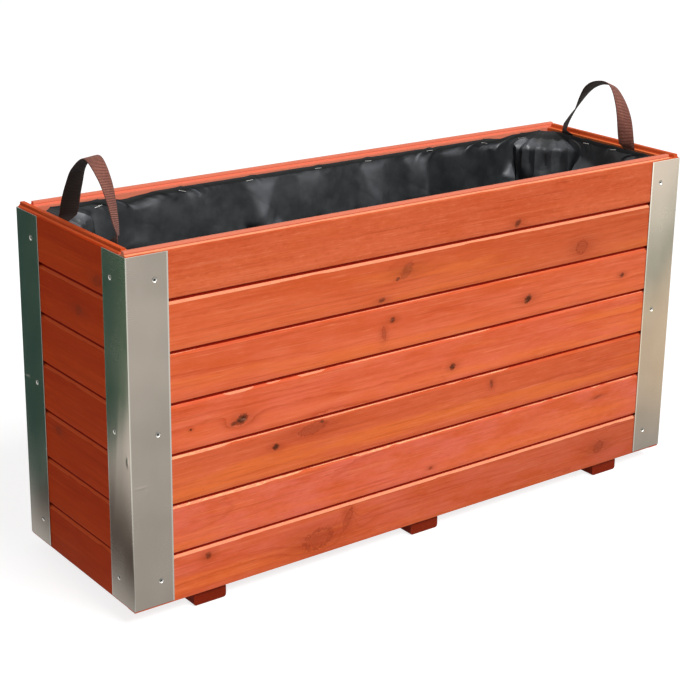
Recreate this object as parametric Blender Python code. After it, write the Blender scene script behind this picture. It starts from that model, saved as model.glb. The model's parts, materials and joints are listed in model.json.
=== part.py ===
"""Rectangular timber planter.

A long box of seven tongue and groove boards a side on three foot battens, with sheet steel
corner angles, a woven liner and a webbing handle at each end. Metres, +Z up. The origin is
on the ground under the middle of the box, and X runs along its length.
"""

import math

import bmesh
import bpy
from mathutils import Matrix, Vector

# Box
box_length = 1.000  # over the outer faces of the boards, along X
box_depth = 0.300  # over the outer faces of the boards, along Y
fit_gap = 0.0003  # between pieces that touch

# Tongue and groove boards
board_rows = 7
board_pitch = 0.0715  # height from one board to the next
board_thickness = 0.019
board_face = 0.0635  # flat outer face, from lower edge to upper arris
bevel = 0.0043  # sloped shoulder above the face, at 45 degrees
tongue_thickness = 0.007
tongue_height = 0.0125  # above the arris
rim_tongue_height = 0.0075  # tongue of the top board, planed down
tongue_ease = 0.0008  # eased edges of the tongue
back_shoulder = 0.0015  # shoulder on the inner side, above the arris
groove_play = 0.0008  # above the tongue
lip_chamfer = 0.0010  # lower outer edge of a board

# Foot battens across the bottom
foot_width = 0.052
foot_height = 0.020
foot_radius = 0.004
foot_radius_segments = 3
foot_setback = 0.005  # from the outer face of the long walls
foot_end_distance = 0.120  # from the end of the box to the middle of the outer battens

# Screws up through the battens, into the lowest boards and the middle floor board
foot_screw_length = 0.034
foot_screw_head_radius = 0.0038
foot_screw_shank_radius = 0.0018
foot_screw_sink = 0.0006  # of the head, below the wood
foot_screw_rim = 0.0004  # straight edge of the head
foot_screw_offset = 0.022  # of the middle screws, from the middle of the floor board

# Floor boards
floor_board_count = 3
floor_thickness = 0.018
floor_side_gap = 0.004
floor_slot = 0.010  # drainage slot between two boards

# Corner posts
post_side = 0.034
post_chamfer = 0.002
post_drop = 0.024  # from the rim down to the top of a post

# Steel corner angles and the countersunk screws through them
angle_leg = 0.060
angle_sheet = 0.001
angle_bottom_margin = 0.003  # above the lower edge of the boards
angle_top_rise = 0.001  # above the arris of the top board
bend_segments = 5
screw_inset = 0.040  # from the bend
screw_end_margin = 0.035  # from the end of an angle
screw_rows = 3
screw_length = 0.030
shank_radius = 0.0015
dish_radius = 0.0029  # pressed dish round a screw head
dish_depth = 0.0010
dish_wall = 0.0008
dish_rings = 12
screw_segments = 10
screw_tip_share = 0.2  # radius of a tip, as a share of its shank
screw_seat_share = 0.2  # how deep in the sheet a screw starts, as a share of it

# Webbing handles
strap_width = 0.025
strap_thickness = 0.0015
strap_span = 0.140  # between the middles of the two legs
strap_offset = 0.0135  # from the middle of the wall towards one corner, where the posts leave room
strap_rise = 0.096  # top of the loop above the rim
strap_lean = 0.007  # top of the loop, back towards the middle of the wall
strap_flat = 0.005  # straight stretch above the pivot
strap_tail = 0.058  # stapled end on the inner face of the wall
tail_chamfer_share = 0.6  # inner top edge of a tail, as a share of the thickness
pivot_rise = 0.0035  # bending line of the webbing above the rim
twist_power = 0.7
loop_segments = 30
round_end = ((0.5, 0.15), (0.32, 0.75), (0.0, 1.0))  # drop and width, in strap thicknesses

# Woven liner
liner_thickness = 0.0008
liner_drop = 0.010  # from the rim down to the edge of the liner
liner_end_standoff = 0.0026  # room for the strap tails at the end walls
liner_side_standoff = 0.0005
liner_corner_top = 0.018  # corner cut at the edge
liner_corner_margin = 0.0035  # extra corner cut round the posts
liner_floor_slack = 0.010  # the liner pulls in at the floor
liner_long_columns = 21
liner_end_columns = 7
liner_levels = (1.0, 0.972, 0.93, 0.82, 0.62, 0.38, 0.15, 0.045, 0.0)  # share of its height
slack_power = 3
fold_foot_share = 0.06  # how far the folds have sunk at the floor
fold_power = 0.7
dip_power = 6

# Folds of the liner: place along the wall, half width and depth
back_folds = ((-0.355, 0.050, 0.022), (-0.215, 0.030, 0.012), (-0.105, 0.040, 0.017), (0.030, 0.030, 0.011),
              (0.130, 0.034, 0.018), (0.235, 0.028, 0.012), (0.330, 0.034, 0.020), (0.420, 0.020, 0.012))
front_folds = ((-0.320, 0.040, 0.014), (-0.160, 0.035, 0.018), (-0.010, 0.040, 0.012), (0.150, 0.032, 0.017),
               (0.300, 0.040, 0.014))
end_folds = ((-0.045, 0.022, 0.007), (0.040, 0.024, 0.009))
edge_dips = ((-0.330, 0.030, 0.007), (0.215, 0.022, 0.005))  # where the edge sags between staples

# Worked out from the values above
half_length = box_length / 2
half_depth = box_depth / 2
wall_bottom = foot_height + fit_gap
top_arris = wall_bottom + (board_rows - 1) * board_pitch + board_face
rim_height = top_arris + rim_tongue_height
inner_half_length = half_length - board_thickness
inner_half_depth = half_depth - board_thickness
floor_top = foot_height + fit_gap + floor_thickness
post_top = rim_height - post_drop
angle_bottom = wall_bottom + angle_bottom_margin
angle_top = top_arris + angle_top_rise
sheet_outside = fit_gap + angle_sheet  # outer face of the sheet in front of the boards
boss_radius = dish_radius + dish_wall
boss_depth = dish_depth + dish_wall
pivot_height = rim_height + pivot_rise
strap_plane = inner_half_length - fit_gap - strap_thickness / 2  # middle of the webbing on the wall
tail_top = pivot_height - strap_thickness / 2 - fit_gap
post_to_post = 2 * (inner_half_depth - post_side - 2 * fit_gap)
handle_offset = min(strap_offset, (post_to_post - strap_span - strap_width) / 2)


def material(name, colour, roughness, metallic=0.0):
    """A plain surface; the colour is linear RGB."""
    made = bpy.data.materials.new(name)
    made.use_nodes = True
    shader = made.node_tree.nodes["Principled BSDF"]
    shader.inputs["Base Color"].default_value = (*colour, 1.0)
    shader.inputs["Roughness"].default_value = roughness
    shader.inputs["Metallic"].default_value = metallic
    made.diffuse_color = (*colour, 1.0)
    return made


def piece(name, bm, surface, location=(0.0, 0.0, 0.0), turn=0.0, parent=None):
    """One solid of the planter, placed by its location and its turn about Z."""
    bmesh.ops.recalc_face_normals(bm, faces=bm.faces)
    mesh = bpy.data.meshes.new(name)
    bm.to_mesh(mesh)
    bm.free()
    mesh.materials.append(surface)
    made = bpy.data.objects.new(name, mesh)
    bpy.context.collection.objects.link(made)
    made.location = location
    made.rotation_euler = (0.0, 0.0, turn)
    made.parent = parent
    return made


def cutter(name, bm, surface):
    """A guide body for a Boolean, which is not a piece itself."""
    made = piece(name, bm, surface)
    made.hide_render = True
    made.display_type = "WIRE"
    return made


def boolean(target, other, operation):
    step = target.modifiers.new(operation.lower(), "BOOLEAN")
    step.operation = operation
    step.object = other
    step.solver = "EXACT"


def bridge(bm, lower, upper):
    """Side faces between two rings of vertices of the same count."""
    count = len(lower)
    for i in range(count):
        j = (i + 1) % count
        bm.faces.new((lower[i], lower[j], upper[j], upper[i]))


def prism(bm, outline, place, length):
    """Extrude a closed outline over a length; place(u, v, along) gives a point."""
    rings = []
    for along in (0.0, length):
        rings.append([bm.verts.new(place(u, v, along)) for u, v in outline])
    bridge(bm, rings[0], rings[1])
    bm.faces.new(rings[0][::-1])
    bm.faces.new(rings[1])


def rounded_rectangle(width, height, radius, segments=1):
    """Outline round the middle of its lower side; one segment makes a chamfer."""
    corners = ((width / 2 - radius, radius, -90.0), (width / 2 - radius, height - radius, 0.0),
               (-width / 2 + radius, height - radius, 90.0), (-width / 2 + radius, radius, 180.0))
    points = []
    for x, z, first in corners:
        for k in range(segments + 1):
            angle = math.radians(first + 90.0 * k / segments)
            points.append((x + radius * math.cos(angle), z + radius * math.sin(angle)))
    return points


def turned(bm, profile, matrix, segments):
    """Turn a profile of (radius, depth) about the depth axis; both ends are flat."""
    rings = []
    for radius, depth in profile:
        ring = []
        for k in range(segments):
            angle = math.tau * k / segments
            point = Vector((radius * math.cos(angle), radius * math.sin(angle), depth))
            ring.append(bm.verts.new(matrix @ point))
        rings.append(ring)
    for lower, upper in zip(rings, rings[1:]):
        bridge(bm, lower, upper)
    bm.faces.new(rings[0][::-1])
    bm.faces.new(rings[-1])


def bump(distance, half_width):
    return math.exp(-((distance / half_width) ** 2))


def smooth(value):
    value = min(1.0, max(0.0, value))
    return value * value * (3.0 - 2.0 * value)


def board_outline(row):
    """Section of a board: depth from its outer face, and height from its lower edge.

    Row 0 is the top board, whose tongue is planed down. The bottom board is sawn off flat
    below, so it has no groove.
    """
    tongue_back = bevel + tongue_thickness
    tongue_top = board_face + (rim_tongue_height if row == 0 else tongue_height)
    shoulder = board_face + back_shoulder
    upper = [
        (0.0, board_face),
        (bevel, board_face + bevel),
        (bevel, tongue_top - tongue_ease),
        (bevel + tongue_ease, tongue_top),
        (tongue_back - tongue_ease, tongue_top),
        (tongue_back, tongue_top - tongue_ease),
        (tongue_back, shoulder),
        (board_thickness, shoulder),
    ]
    if row == board_rows - 1:
        return upper + [(board_thickness, 0.0), (lip_chamfer, 0.0), (0.0, lip_chamfer)]
    below = board_face - board_pitch  # arris of the board underneath
    lip_back = below + back_shoulder + fit_gap
    groove_top = below + tongue_height + groove_play
    groove_front = bevel - fit_gap
    groove_back = tongue_back + fit_gap
    lower = [
        (board_thickness, lip_back),
        (groove_back, lip_back),
        (groove_back, groove_top),
        (groove_front, groove_top),
        (groove_front, 0.0),
        (lip_chamfer, 0.0),
        (0.0, lip_chamfer),
    ]
    return upper + lower


def make_walls(wood, bores):
    """Four walls that turn the corners like a pinwheel, each board butting against the next wall."""
    long_board = box_length - board_thickness - fit_gap
    short_board = box_depth - board_thickness - fit_gap
    walls = (
        ("front_board", 0.0, -half_length, -half_depth, long_board),
        ("right_end_board", 90.0, half_length, -half_depth, short_board),
        ("back_board", 180.0, half_length, half_depth, long_board),
        ("left_end_board", 270.0, -half_length, half_depth, short_board),
    )
    drilled = {round(k * (board_rows - 1) / (screw_rows - 1)) for k in range(screw_rows)}
    for name, turn, x, y, length in walls:
        for row in range(board_rows):
            bm = bmesh.new()
            prism(bm, board_outline(row), lambda u, v, along: (along, u, v), length)
            height = wall_bottom + (board_rows - 1 - row) * board_pitch
            board = piece(f"{name}_{row + 1}", bm, wood, (x, y, height), math.radians(turn))
            if row in drilled:
                boolean(board, bores, "DIFFERENCE")


def foot_places():
    reach = half_length - foot_end_distance
    return (("left", -reach), ("middle", 0.0), ("right", reach))


def make_feet(wood, bores):
    for place, x in foot_places():
        bm = bmesh.new()
        outline = rounded_rectangle(foot_width, foot_height, foot_radius, foot_radius_segments)
        prism(bm, outline, lambda u, v, along: (u, along, v), box_depth - 2 * foot_setback)
        batten = piece(f"foot_batten_{place}", bm, wood, (x, -half_depth + foot_setback, 0.0))
        boolean(batten, bores, "DIFFERENCE")


def foot_screw_places():
    """Name, x and y of each screw through a batten."""
    wall_middle = half_depth - board_thickness / 2
    return [(f"{batten}_{place}", x, y) for batten, x in foot_places()
            for place, y in (("front", -wall_middle), ("middle", foot_screw_offset), ("rear", wall_middle))]


def foot_screw_profile(extra):
    """Countersunk head, shank and tip; extra is the clearance round them."""
    start = foot_screw_sink if extra == 0 else -fit_gap
    head_back = foot_screw_sink + foot_screw_rim + extra
    neck = head_back + foot_screw_head_radius - foot_screw_shank_radius
    tip = foot_screw_sink + foot_screw_length + extra
    return [
        (foot_screw_head_radius + extra, start),
        (foot_screw_head_radius + extra, head_back),
        (foot_screw_shank_radius + extra, neck),
        (foot_screw_shank_radius + extra, tip - 2 * foot_screw_shank_radius),
        (screw_tip_share * foot_screw_shank_radius + extra, tip),
    ]


def make_foot_screws(steel):
    for name, x, y in foot_screw_places():
        bm = bmesh.new()
        turned(bm, foot_screw_profile(0.0), Matrix.Translation((x, y, 0.0)), screw_segments)
        piece(f"foot_screw_{name}", bm, steel)


def make_floor(wood, bores):
    room = 2 * inner_half_depth - 2 * floor_side_gap - (floor_board_count - 1) * floor_slot
    width = room / floor_board_count
    length = 2 * (inner_half_length - fit_gap)
    for k in range(floor_board_count):
        bm = bmesh.new()
        outline = rounded_rectangle(width, floor_thickness, lip_chamfer)
        prism(bm, outline, lambda u, v, along: (along, u, v), length)
        y = -inner_half_depth + floor_side_gap + width / 2 + k * (width + floor_slot)
        board = piece(f"floor_board_{k + 1}", bm, wood, (-length / 2, y, foot_height + fit_gap))
        boolean(board, bores, "DIFFERENCE")


def make_posts(wood, bores):
    """Square posts in the corners, which stand on the floor boards."""
    bottom = floor_top + fit_gap
    reach = fit_gap + post_side / 2
    for name, sx, sy in corners():
        bm = bmesh.new()
        outline = rounded_rectangle(post_side, post_side, post_chamfer)
        middle = [(u, v - post_side / 2) for u, v in outline]
        prism(bm, middle, lambda u, v, along: (u, v, along), post_top - bottom)
        x = sx * (inner_half_length - reach)
        y = sy * (inner_half_depth - reach)
        post = piece(f"corner_post_{name}", bm, wood, (x, y, bottom))
        boolean(post, bores, "DIFFERENCE")


def corners():
    return (("front_left", -1, -1), ("front_right", 1, -1), ("rear_right", 1, 1), ("rear_left", -1, 1))


def screw_places(sx, sy):
    """Matrices of the six screws of one corner: Z points into the wood, from the boards' face."""
    first = angle_bottom + screw_end_margin
    step = (angle_top - screw_end_margin - first) / (screw_rows - 1)
    places = []
    for k in range(screw_rows):
        z = first + k * step
        on_long_wall = Vector((sx * (half_length - screw_inset), sy * half_depth, z))
        on_end_wall = Vector((sx * half_length, sy * (half_depth - screw_inset), z))
        for point, inwards in ((on_long_wall, Vector((0, -sy, 0))), (on_end_wall, Vector((-sx, 0, 0)))):
            turn = inwards.to_track_quat("Z", "Y").to_matrix().to_4x4()
            places.append(Matrix.Translation(point) @ turn)
    return places


def screw_profile(extra):
    """Pressed boss, cone and shank; extra is the clearance round them."""
    head_back = boss_depth - sheet_outside + extra
    start = -sheet_outside + screw_seat_share * angle_sheet if extra == 0 else -fit_gap / 2
    cone_back = head_back + boss_radius - shank_radius
    tip = screw_length - sheet_outside + extra
    return [
        (boss_radius + extra, start),
        (boss_radius + extra, head_back),
        (shank_radius + extra, cone_back),
        (shank_radius + extra, tip - 2 * shank_radius),
        (screw_tip_share * shank_radius + extra, tip),
    ]


def make_bores(surface):
    """Clearance for all screws in boards, posts and battens."""
    bm = bmesh.new()
    for _, sx, sy in corners():
        for matrix in screw_places(sx, sy):
            turned(bm, screw_profile(fit_gap), matrix, screw_segments)
    for _, x, y in foot_screw_places():
        turned(bm, foot_screw_profile(fit_gap), Matrix.Translation((x, y, 0.0)), screw_segments)
    return cutter("screw_bores", bm, surface)


def angle_outline(sx, sy):
    """Plan of a bent sheet round the corner, with its bend about the boards' arris."""
    bend = []
    for k in range(bend_segments + 1):
        angle = math.pi / 2 * k / bend_segments
        bend.append((math.cos(angle), math.sin(angle)))
    outside = [(sheet_outside, -angle_leg)] + [(sheet_outside * c, sheet_outside * s) for c, s in bend]
    outside.append((-angle_leg, sheet_outside))
    inside = [(-angle_leg, fit_gap)] + [(fit_gap * c, fit_gap * s) for c, s in bend[::-1]]
    inside.append((fit_gap, -angle_leg))
    return [(sx * (half_length + u), sy * (half_depth + v)) for u, v in outside + inside]


def make_angles(steel):
    """Corner angles, each with its six screws drawn into pressed dishes."""
    ball_radius = (dish_radius**2 + dish_depth**2) / (2 * dish_depth)
    for name, sx, sy in corners():
        bm = bmesh.new()
        prism(bm, angle_outline(sx, sy), lambda u, v, along: (u, v, angle_bottom + along),
              angle_top - angle_bottom)
        angle = piece(f"corner_angle_{name}", bm, steel)
        screws = bmesh.new()
        dishes = bmesh.new()
        for matrix in screw_places(sx, sy):
            turned(screws, screw_profile(0.0), matrix, screw_segments)
            lift = Matrix.Translation((0.0, 0.0, dish_depth - ball_radius - sheet_outside))
            bmesh.ops.create_uvsphere(dishes, u_segments=screw_segments, v_segments=dish_rings,
                                      radius=ball_radius, matrix=matrix @ lift)
        boolean(angle, cutter(f"screws_{name}", screws, steel), "UNION")
        boolean(angle, cutter(f"dishes_{name}", dishes, steel), "DIFFERENCE")


def strap_point(share):
    """Middle line of the left loop from the front leg, 0, to the rear leg, 1.

    Returns the point relative to the pivot line, the tangent and the face that is outside
    at the top. The webbing starts flat on the wall and turns a quarter turn in each leg,
    with its outer edge in the plane of the wall.
    """
    height = strap_rise - pivot_rise - strap_flat - strap_thickness / 2
    angle = math.pi * share
    y = -handle_offset - strap_span / 2 * math.cos(angle) + strap_lean * math.sin(angle) ** 2
    z = strap_flat + height * math.sin(angle)
    dy = strap_span / 2 * math.sin(angle) + 2 * strap_lean * math.sin(angle) * math.cos(angle)
    dz = height * math.cos(angle)
    twist = math.pi / 2 * abs(math.sin(angle)) ** twist_power
    tangent = Vector((0.0, dy, dz)).normalized()
    outwards = Vector((0.0, -tangent.z, tangent.y))
    face = Vector((math.cos(twist), 0.0, 0.0)) + math.sin(twist) * outwards
    x = strap_width / 2 * math.sin(twist)
    return Vector((x, y, z)), tangent, face


def strap_ring(bm, middle, tangent, face, thickness):
    across = tangent.cross(face).normalized() * strap_width / 2
    normal = face.normalized() * thickness / 2
    return [bm.verts.new(middle + a * across + n * normal) for a, n in ((-1, -1), (1, -1), (1, 1), (-1, 1))]


def make_loop(name, webbing, side, axis):
    """Loop of a handle about its pivot line; the right one is the left one turned half round."""
    bm = bmesh.new()
    rings = []
    inwards = Vector((1.0, 0.0, 0.0))
    for drop, share in round_end:
        middle = Vector((0.0, -handle_offset - strap_span / 2, -drop * strap_thickness))
        rings.append(strap_ring(bm, middle, Vector((0, 0, 1)), inwards, share * strap_thickness))
    for k in range(loop_segments + 1):
        middle, tangent, face = strap_point(k / loop_segments)
        rings.append(strap_ring(bm, middle, tangent, face, strap_thickness))
    for drop, share in round_end[::-1]:
        middle = Vector((0.0, -handle_offset + strap_span / 2, -drop * strap_thickness))
        rings.append(strap_ring(bm, middle, Vector((0, 0, -1)), inwards, share * strap_thickness))
    for lower, upper in zip(rings, rings[1:]):
        bridge(bm, lower, upper)
    bm.faces.new(rings[0][::-1])
    bm.faces.new(rings[-1])
    return piece(name, bm, webbing, turn=0.0 if side < 0 else math.pi, parent=axis)


def tail_outline():
    """Section of a tail: depth towards the inside of the box, and height; cut back for the loop."""
    half = strap_thickness / 2
    cut = tail_chamfer_share * strap_thickness
    return ((-half, 0.0), (half, 0.0), (half, strap_tail - cut), (half - cut, strap_tail), (-half, strap_tail))


def make_handles(webbing):
    for name, side in (("left", -1), ("right", 1)):
        axis = bpy.data.objects.new(f"{name}_handle_axis", None)
        bpy.context.collection.objects.link(axis)
        axis.location = (side * strap_plane, 0.0, pivot_height)
        make_loop(f"{name}_handle_loop", webbing, side, axis)
        for leg, reach in (("front", -strap_span / 2), ("rear", strap_span / 2)):
            y = side * handle_offset + reach
            bm = bmesh.new()
            prism(bm, tail_outline(), lambda u, v, along: (-side * u, along, v), strap_width)
            piece(f"{name}_handle_{leg}_tail", bm, webbing,
                  (side * strap_plane, y - strap_width / 2, tail_top - strap_tail))


def liner_ring(share):
    """Outer plan of the liner at a share of its height, counterclockwise from the front wall."""
    edge = rim_height - liner_drop
    bottom = floor_top + fit_gap
    height = bottom + share * (edge - bottom)
    in_posts = smooth((edge - height) / (edge - post_top))
    corner_low = 2 * (post_side + fit_gap) + liner_corner_margin
    corner = liner_corner_top + (corner_low - liner_corner_top) * in_posts
    hung = fold_foot_share + (1 - fold_foot_share) * share
    sag = math.sin(math.pi * hung) ** fold_power if share < 1 else 0.0
    pull = liner_floor_slack * (1 - share) ** slack_power
    points = []
    walls = (
        (0.0, inner_half_length, inner_half_depth - liner_side_standoff, front_folds, liner_long_columns),
        (90.0, inner_half_depth, inner_half_length - liner_end_standoff, end_folds, liner_end_columns),
        (180.0, inner_half_length, inner_half_depth - liner_side_standoff, back_folds, liner_long_columns),
        (270.0, inner_half_depth, inner_half_length - liner_end_standoff, end_folds, liner_end_columns),
    )
    for turn, half, reach, folds, columns in walls:
        rotation = Matrix.Rotation(math.radians(turn), 3, "Z")
        way = 1 if turn < 180 else -1  # places of folds are along +X or +Y on every wall
        for k in range(columns):
            along = (half - corner) * (2 * k / (columns - 1) - 1)
            place = way * along
            depth = sum(d * bump(place - x, w) for x, w, d in folds)
            dip = 0.0
            if turn == 180.0:
                dip = sum(d * bump(place - x, w) for x, w, d in edge_dips) * share**dip_power
            points.append(rotation @ Vector((along, -(reach - pull - sag * depth), height - dip)))
    return points


def make_liner(cloth):
    """Open bag of thin woven sheet, hung from its edge and lying on the floor boards."""
    bm = bmesh.new()
    outer = []
    inner = []
    for share in liner_levels:
        ring = liner_ring(share)
        count = len(ring)
        outer.append([bm.verts.new(p) for p in ring])
        lift = liner_thickness if share == liner_levels[-1] else 0.0
        moved = []
        for i, point in enumerate(ring):
            along = ring[(i + 1) % count] - ring[i - 1]
            inwards = Vector((-along.y, along.x, 0.0)).normalized()
            moved.append(bm.verts.new(point + inwards * liner_thickness + Vector((0, 0, lift))))
        inner.append(moved)
    for surfaces in (outer, inner):
        for upper, lower in zip(surfaces, surfaces[1:]):
            bridge(bm, lower, upper)
        bm.faces.new(surfaces[-1])
    bridge(bm, outer[0], inner[0])
    return piece("liner", bm, cloth)


def build():
    for old in list(bpy.data.objects):
        bpy.data.objects.remove(old, do_unlink=True)
    wood = material("stained_wood", (0.62, 0.13, 0.045), 0.55)
    rough_wood = material("rough_wood", (0.20, 0.035, 0.015), 0.75)
    steel = material("satin_steel", (0.55, 0.53, 0.50), 0.35, 1.0)
    webbing = material("brown_webbing", (0.10, 0.045, 0.035), 0.8)
    cloth = material("black_liner", (0.020, 0.021, 0.022), 0.45)
    bores = make_bores(steel)
    make_walls(wood, bores)
    make_posts(rough_wood, bores)
    make_feet(rough_wood, bores)
    make_foot_screws(steel)
    make_floor(rough_wood, bores)
    make_angles(steel)
    make_handles(webbing)
    make_liner(cloth)


build()
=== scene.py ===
import functools
import json
import math

import bmesh
import bpy
import numpy as np
from mathutils import Matrix, Vector
from mathutils.geometry import delaunay_2d_cdt

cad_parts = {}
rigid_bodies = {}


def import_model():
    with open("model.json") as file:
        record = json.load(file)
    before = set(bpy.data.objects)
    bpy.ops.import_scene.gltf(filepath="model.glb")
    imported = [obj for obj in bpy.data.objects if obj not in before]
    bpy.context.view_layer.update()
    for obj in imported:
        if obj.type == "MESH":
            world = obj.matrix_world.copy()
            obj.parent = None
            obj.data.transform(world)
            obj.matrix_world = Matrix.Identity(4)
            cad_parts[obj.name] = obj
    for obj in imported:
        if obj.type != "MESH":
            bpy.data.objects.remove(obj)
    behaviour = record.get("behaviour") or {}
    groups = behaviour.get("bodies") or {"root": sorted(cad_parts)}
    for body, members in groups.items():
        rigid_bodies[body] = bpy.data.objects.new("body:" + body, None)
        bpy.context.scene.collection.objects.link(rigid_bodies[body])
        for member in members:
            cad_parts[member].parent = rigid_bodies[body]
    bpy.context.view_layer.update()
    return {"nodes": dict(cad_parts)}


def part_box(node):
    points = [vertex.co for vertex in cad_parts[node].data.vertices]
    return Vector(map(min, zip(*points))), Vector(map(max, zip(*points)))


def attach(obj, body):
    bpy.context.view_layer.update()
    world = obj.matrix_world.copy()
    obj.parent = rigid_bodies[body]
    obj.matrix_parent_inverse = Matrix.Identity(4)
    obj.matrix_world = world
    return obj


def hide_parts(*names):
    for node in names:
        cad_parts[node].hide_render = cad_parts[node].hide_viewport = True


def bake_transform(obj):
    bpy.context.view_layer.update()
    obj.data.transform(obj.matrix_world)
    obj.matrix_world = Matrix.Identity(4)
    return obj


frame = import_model()
scene = bpy.context.scene


def linked(name, data):
    made = bpy.data.objects.new(name, data)
    scene.collection.objects.link(made)
    return made


# The view of the photograph. Its frame is wider than high and was cut square, hence the shift.
camera = {
    "azimuth": -37.075,
    "elevation": 17.674,
    "roll": 0.847,
    "aim": Vector((-0.0406, 0.0, 0.3475)),
    "distance": 2.4717,
    "lens": 85.37,
    "shift": -0.0805,
}


def addCamera(look):
    azimuth, elevation, roll = (math.radians(look[k]) for k in ("azimuth", "elevation", "roll"))
    back = Vector((math.sin(azimuth) * math.cos(elevation), -math.cos(azimuth) * math.cos(elevation),
                   math.sin(elevation)))
    right = Vector((0, 0, 1)).cross(back).normalized()
    up = back.cross(right)
    turnedRight = right * math.cos(roll) + up * math.sin(roll)
    turnedUp = up * math.cos(roll) - right * math.sin(roll)
    made = linked("camera", bpy.data.cameras.new("camera"))
    made.matrix_world = Matrix.Translation(look["aim"] + back * look["distance"]) @ Matrix(
        (turnedRight, turnedUp, back)).transposed().to_4x4()
    made.data.lens = look["lens"]
    made.data.shift_y = look["shift"]
    scene.camera = made


addCamera(camera)
print("camera ready")


# A value on its way through a node tree: sums and products of it add Math nodes.
class Flow:
    def __init__(self, tree, socket):
        self.tree = tree
        self.socket = socket

    def math(self, operation, *values):
        return self.tree.add("ShaderNodeMath", {"operation": operation}, dict(enumerate((self, *values))))

    def __add__(self, other):
        return self.math("ADD", other)

    def __sub__(self, other):
        return self.math("SUBTRACT", other)

    def __mul__(self, other):
        return self.math("MULTIPLY", other)

    def __truediv__(self, other):
        return self.math("DIVIDE", other)

    def __pow__(self, other):
        return self.math("POWER", other)

    def __rsub__(self, other):
        return self.tree.add("ShaderNodeMath", {"operation": "SUBTRACT"}, {0: other, 1: self})

    __radd__ = __add__
    __rmul__ = __mul__


# A node tree being written. add() makes any node: its settings first, then the values of its sockets.
class Tree:
    def __init__(self, tree):
        self.tree = tree

    def add(self, kind, settings=None, values=None, output=0):
        made = self.tree.nodes.new(kind)
        for name, value in (settings or {}).items():
            if name == "stops":
                self.setStops(made.color_ramp.elements, value)
            else:
                setattr(made, name, value)
        for name, value in (values or {}).items():
            if isinstance(value, Flow):
                self.tree.links.new(value.socket, made.inputs[name])
            else:
                made.inputs[name].default_value = value
        return Flow(self, made.outputs[output] if made.outputs else None)

    def setStops(self, elements, stops):
        while len(elements) < len(stops):
            elements.new(0.5)
        for element, (at, tone) in zip(elements, stops):
            element.position = at
            element.color = (*tone, 1.0) if isinstance(tone, tuple) else (tone, tone, tone, 1.0)

    def vector(self, x, y, z):
        return self.add("ShaderNodeCombineXYZ", None, {0: x, 1: y, 2: z})

    def parts(self, vector):
        split = self.tree.nodes.new("ShaderNodeSeparateXYZ")
        self.tree.links.new(vector.socket, split.inputs[0])
        return [Flow(self, output) for output in split.outputs]

    def noise(self, x, y, z, detail=2.0, roughness=0.5):
        values = {"Vector": self.vector(x, y, z), "Scale": 1.0, "Detail": detail, "Roughness": roughness}
        return self.add("ShaderNodeTexNoise", None, values, "Fac")

    def rise(self, value, low, high, bottom=0.0, top=1.0):
        values = {"Value": value, "From Min": low, "From Max": high, "To Min": bottom, "To Max": top}
        return self.add("ShaderNodeMapRange", {"interpolation_type": "SMOOTHSTEP"}, values)

    def mix(self, share, first, second, blend="MIX"):
        settings = {"data_type": "RGBA", "blend_type": blend}
        return self.add("ShaderNodeMix", settings, {0: share, 6: colour(first), 7: colour(second)}, 2)


def most(flows):
    return functools.reduce(lambda first, second: first.math("MAXIMUM", second), flows)


def bell(*parts):
    # 1 where every part is 0, and less around it
    return (sum(part * part for part in parts) * -1.0).math("EXPONENT")


def shade(paint, share):
    return tuple(channel * share for channel in paint)


def colour(value):
    return (*value, 1.0) if isinstance(value, tuple) and len(value) == 3 else value


class Surface(Tree):
    def __init__(self, name, fixed=None):
        self.material = bpy.data.materials.new(name)
        self.material.use_nodes = True
        super().__init__(self.material.node_tree)
        self.shader = self.tree.nodes["Principled BSDF"]
        for socket, value in (fixed or {}).items():
            self.shader.inputs[socket].default_value = value

    def places(self):
        return self.parts(self.add("ShaderNodeTexCoord", None, None, "Object"))

    def attribute(self, name):
        return self.add("ShaderNodeAttribute", {"attribute_name": name}, None, "Fac")

    def finish(self, height=None, bumpDistance=0.001, bumpStrength=1.0, **sockets):
        for name, value in sockets.items():
            self.tree.links.new(value.socket, self.shader.inputs[name.replace("_", " ")])
        if height is not None:
            values = {"Height": height, "Distance": bumpDistance, "Strength": bumpStrength}
            normal = self.add("ShaderNodeBump", None, values)
            self.tree.links.new(normal.socket, self.shader.inputs["Normal"])
        return self.material


# A Geometry Nodes tree with named inputs, run once on an object to give a plain mesh.
class Maker(Tree):
    kinds = {float: "NodeSocketFloat", int: "NodeSocketInt", "material": "NodeSocketMaterial",
             "object": "NodeSocketObject"}

    def __init__(self, name, inputs):
        super().__init__(bpy.data.node_groups.new(name, "GeometryNodeTree"))
        face = self.tree.interface
        face.new_socket("Geometry", in_out="INPUT", socket_type="NodeSocketGeometry")
        self.ids = {}
        for label, kind in inputs.items():
            socket = face.new_socket(label, in_out="INPUT", socket_type=self.kinds[kind])
            self.ids[label] = socket.identifier
        face.new_socket("Geometry", in_out="OUTPUT", socket_type="NodeSocketGeometry")
        self.source = self.tree.nodes.new("NodeGroupInput")
        self.target = self.tree.nodes.new("NodeGroupOutput")

    def input(self, label):
        return Flow(self, self.source.outputs[label])

    def close(self, geometry):
        real = self.add("GeometryNodeRealizeInstances", None, {"Geometry": geometry})
        dressed = self.add("GeometryNodeSetMaterial", None, {"Geometry": real, "Material": self.input("Material")})
        self.tree.links.new(dressed.socket, self.target.inputs[0])

    def run(self, name, mesh, values):
        holder = linked(f"{name}Source", mesh)
        step = holder.modifiers.new("make", "NODES")
        step.node_group = self.tree
        for label, value in values.items():
            step[self.ids[label]] = value
        bpy.context.view_layer.update()
        evaluated = holder.evaluated_get(bpy.context.evaluated_depsgraph_get())
        made = bpy.data.meshes.new_from_object(evaluated)
        made.name = name
        bpy.data.objects.remove(holder)
        return made


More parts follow.
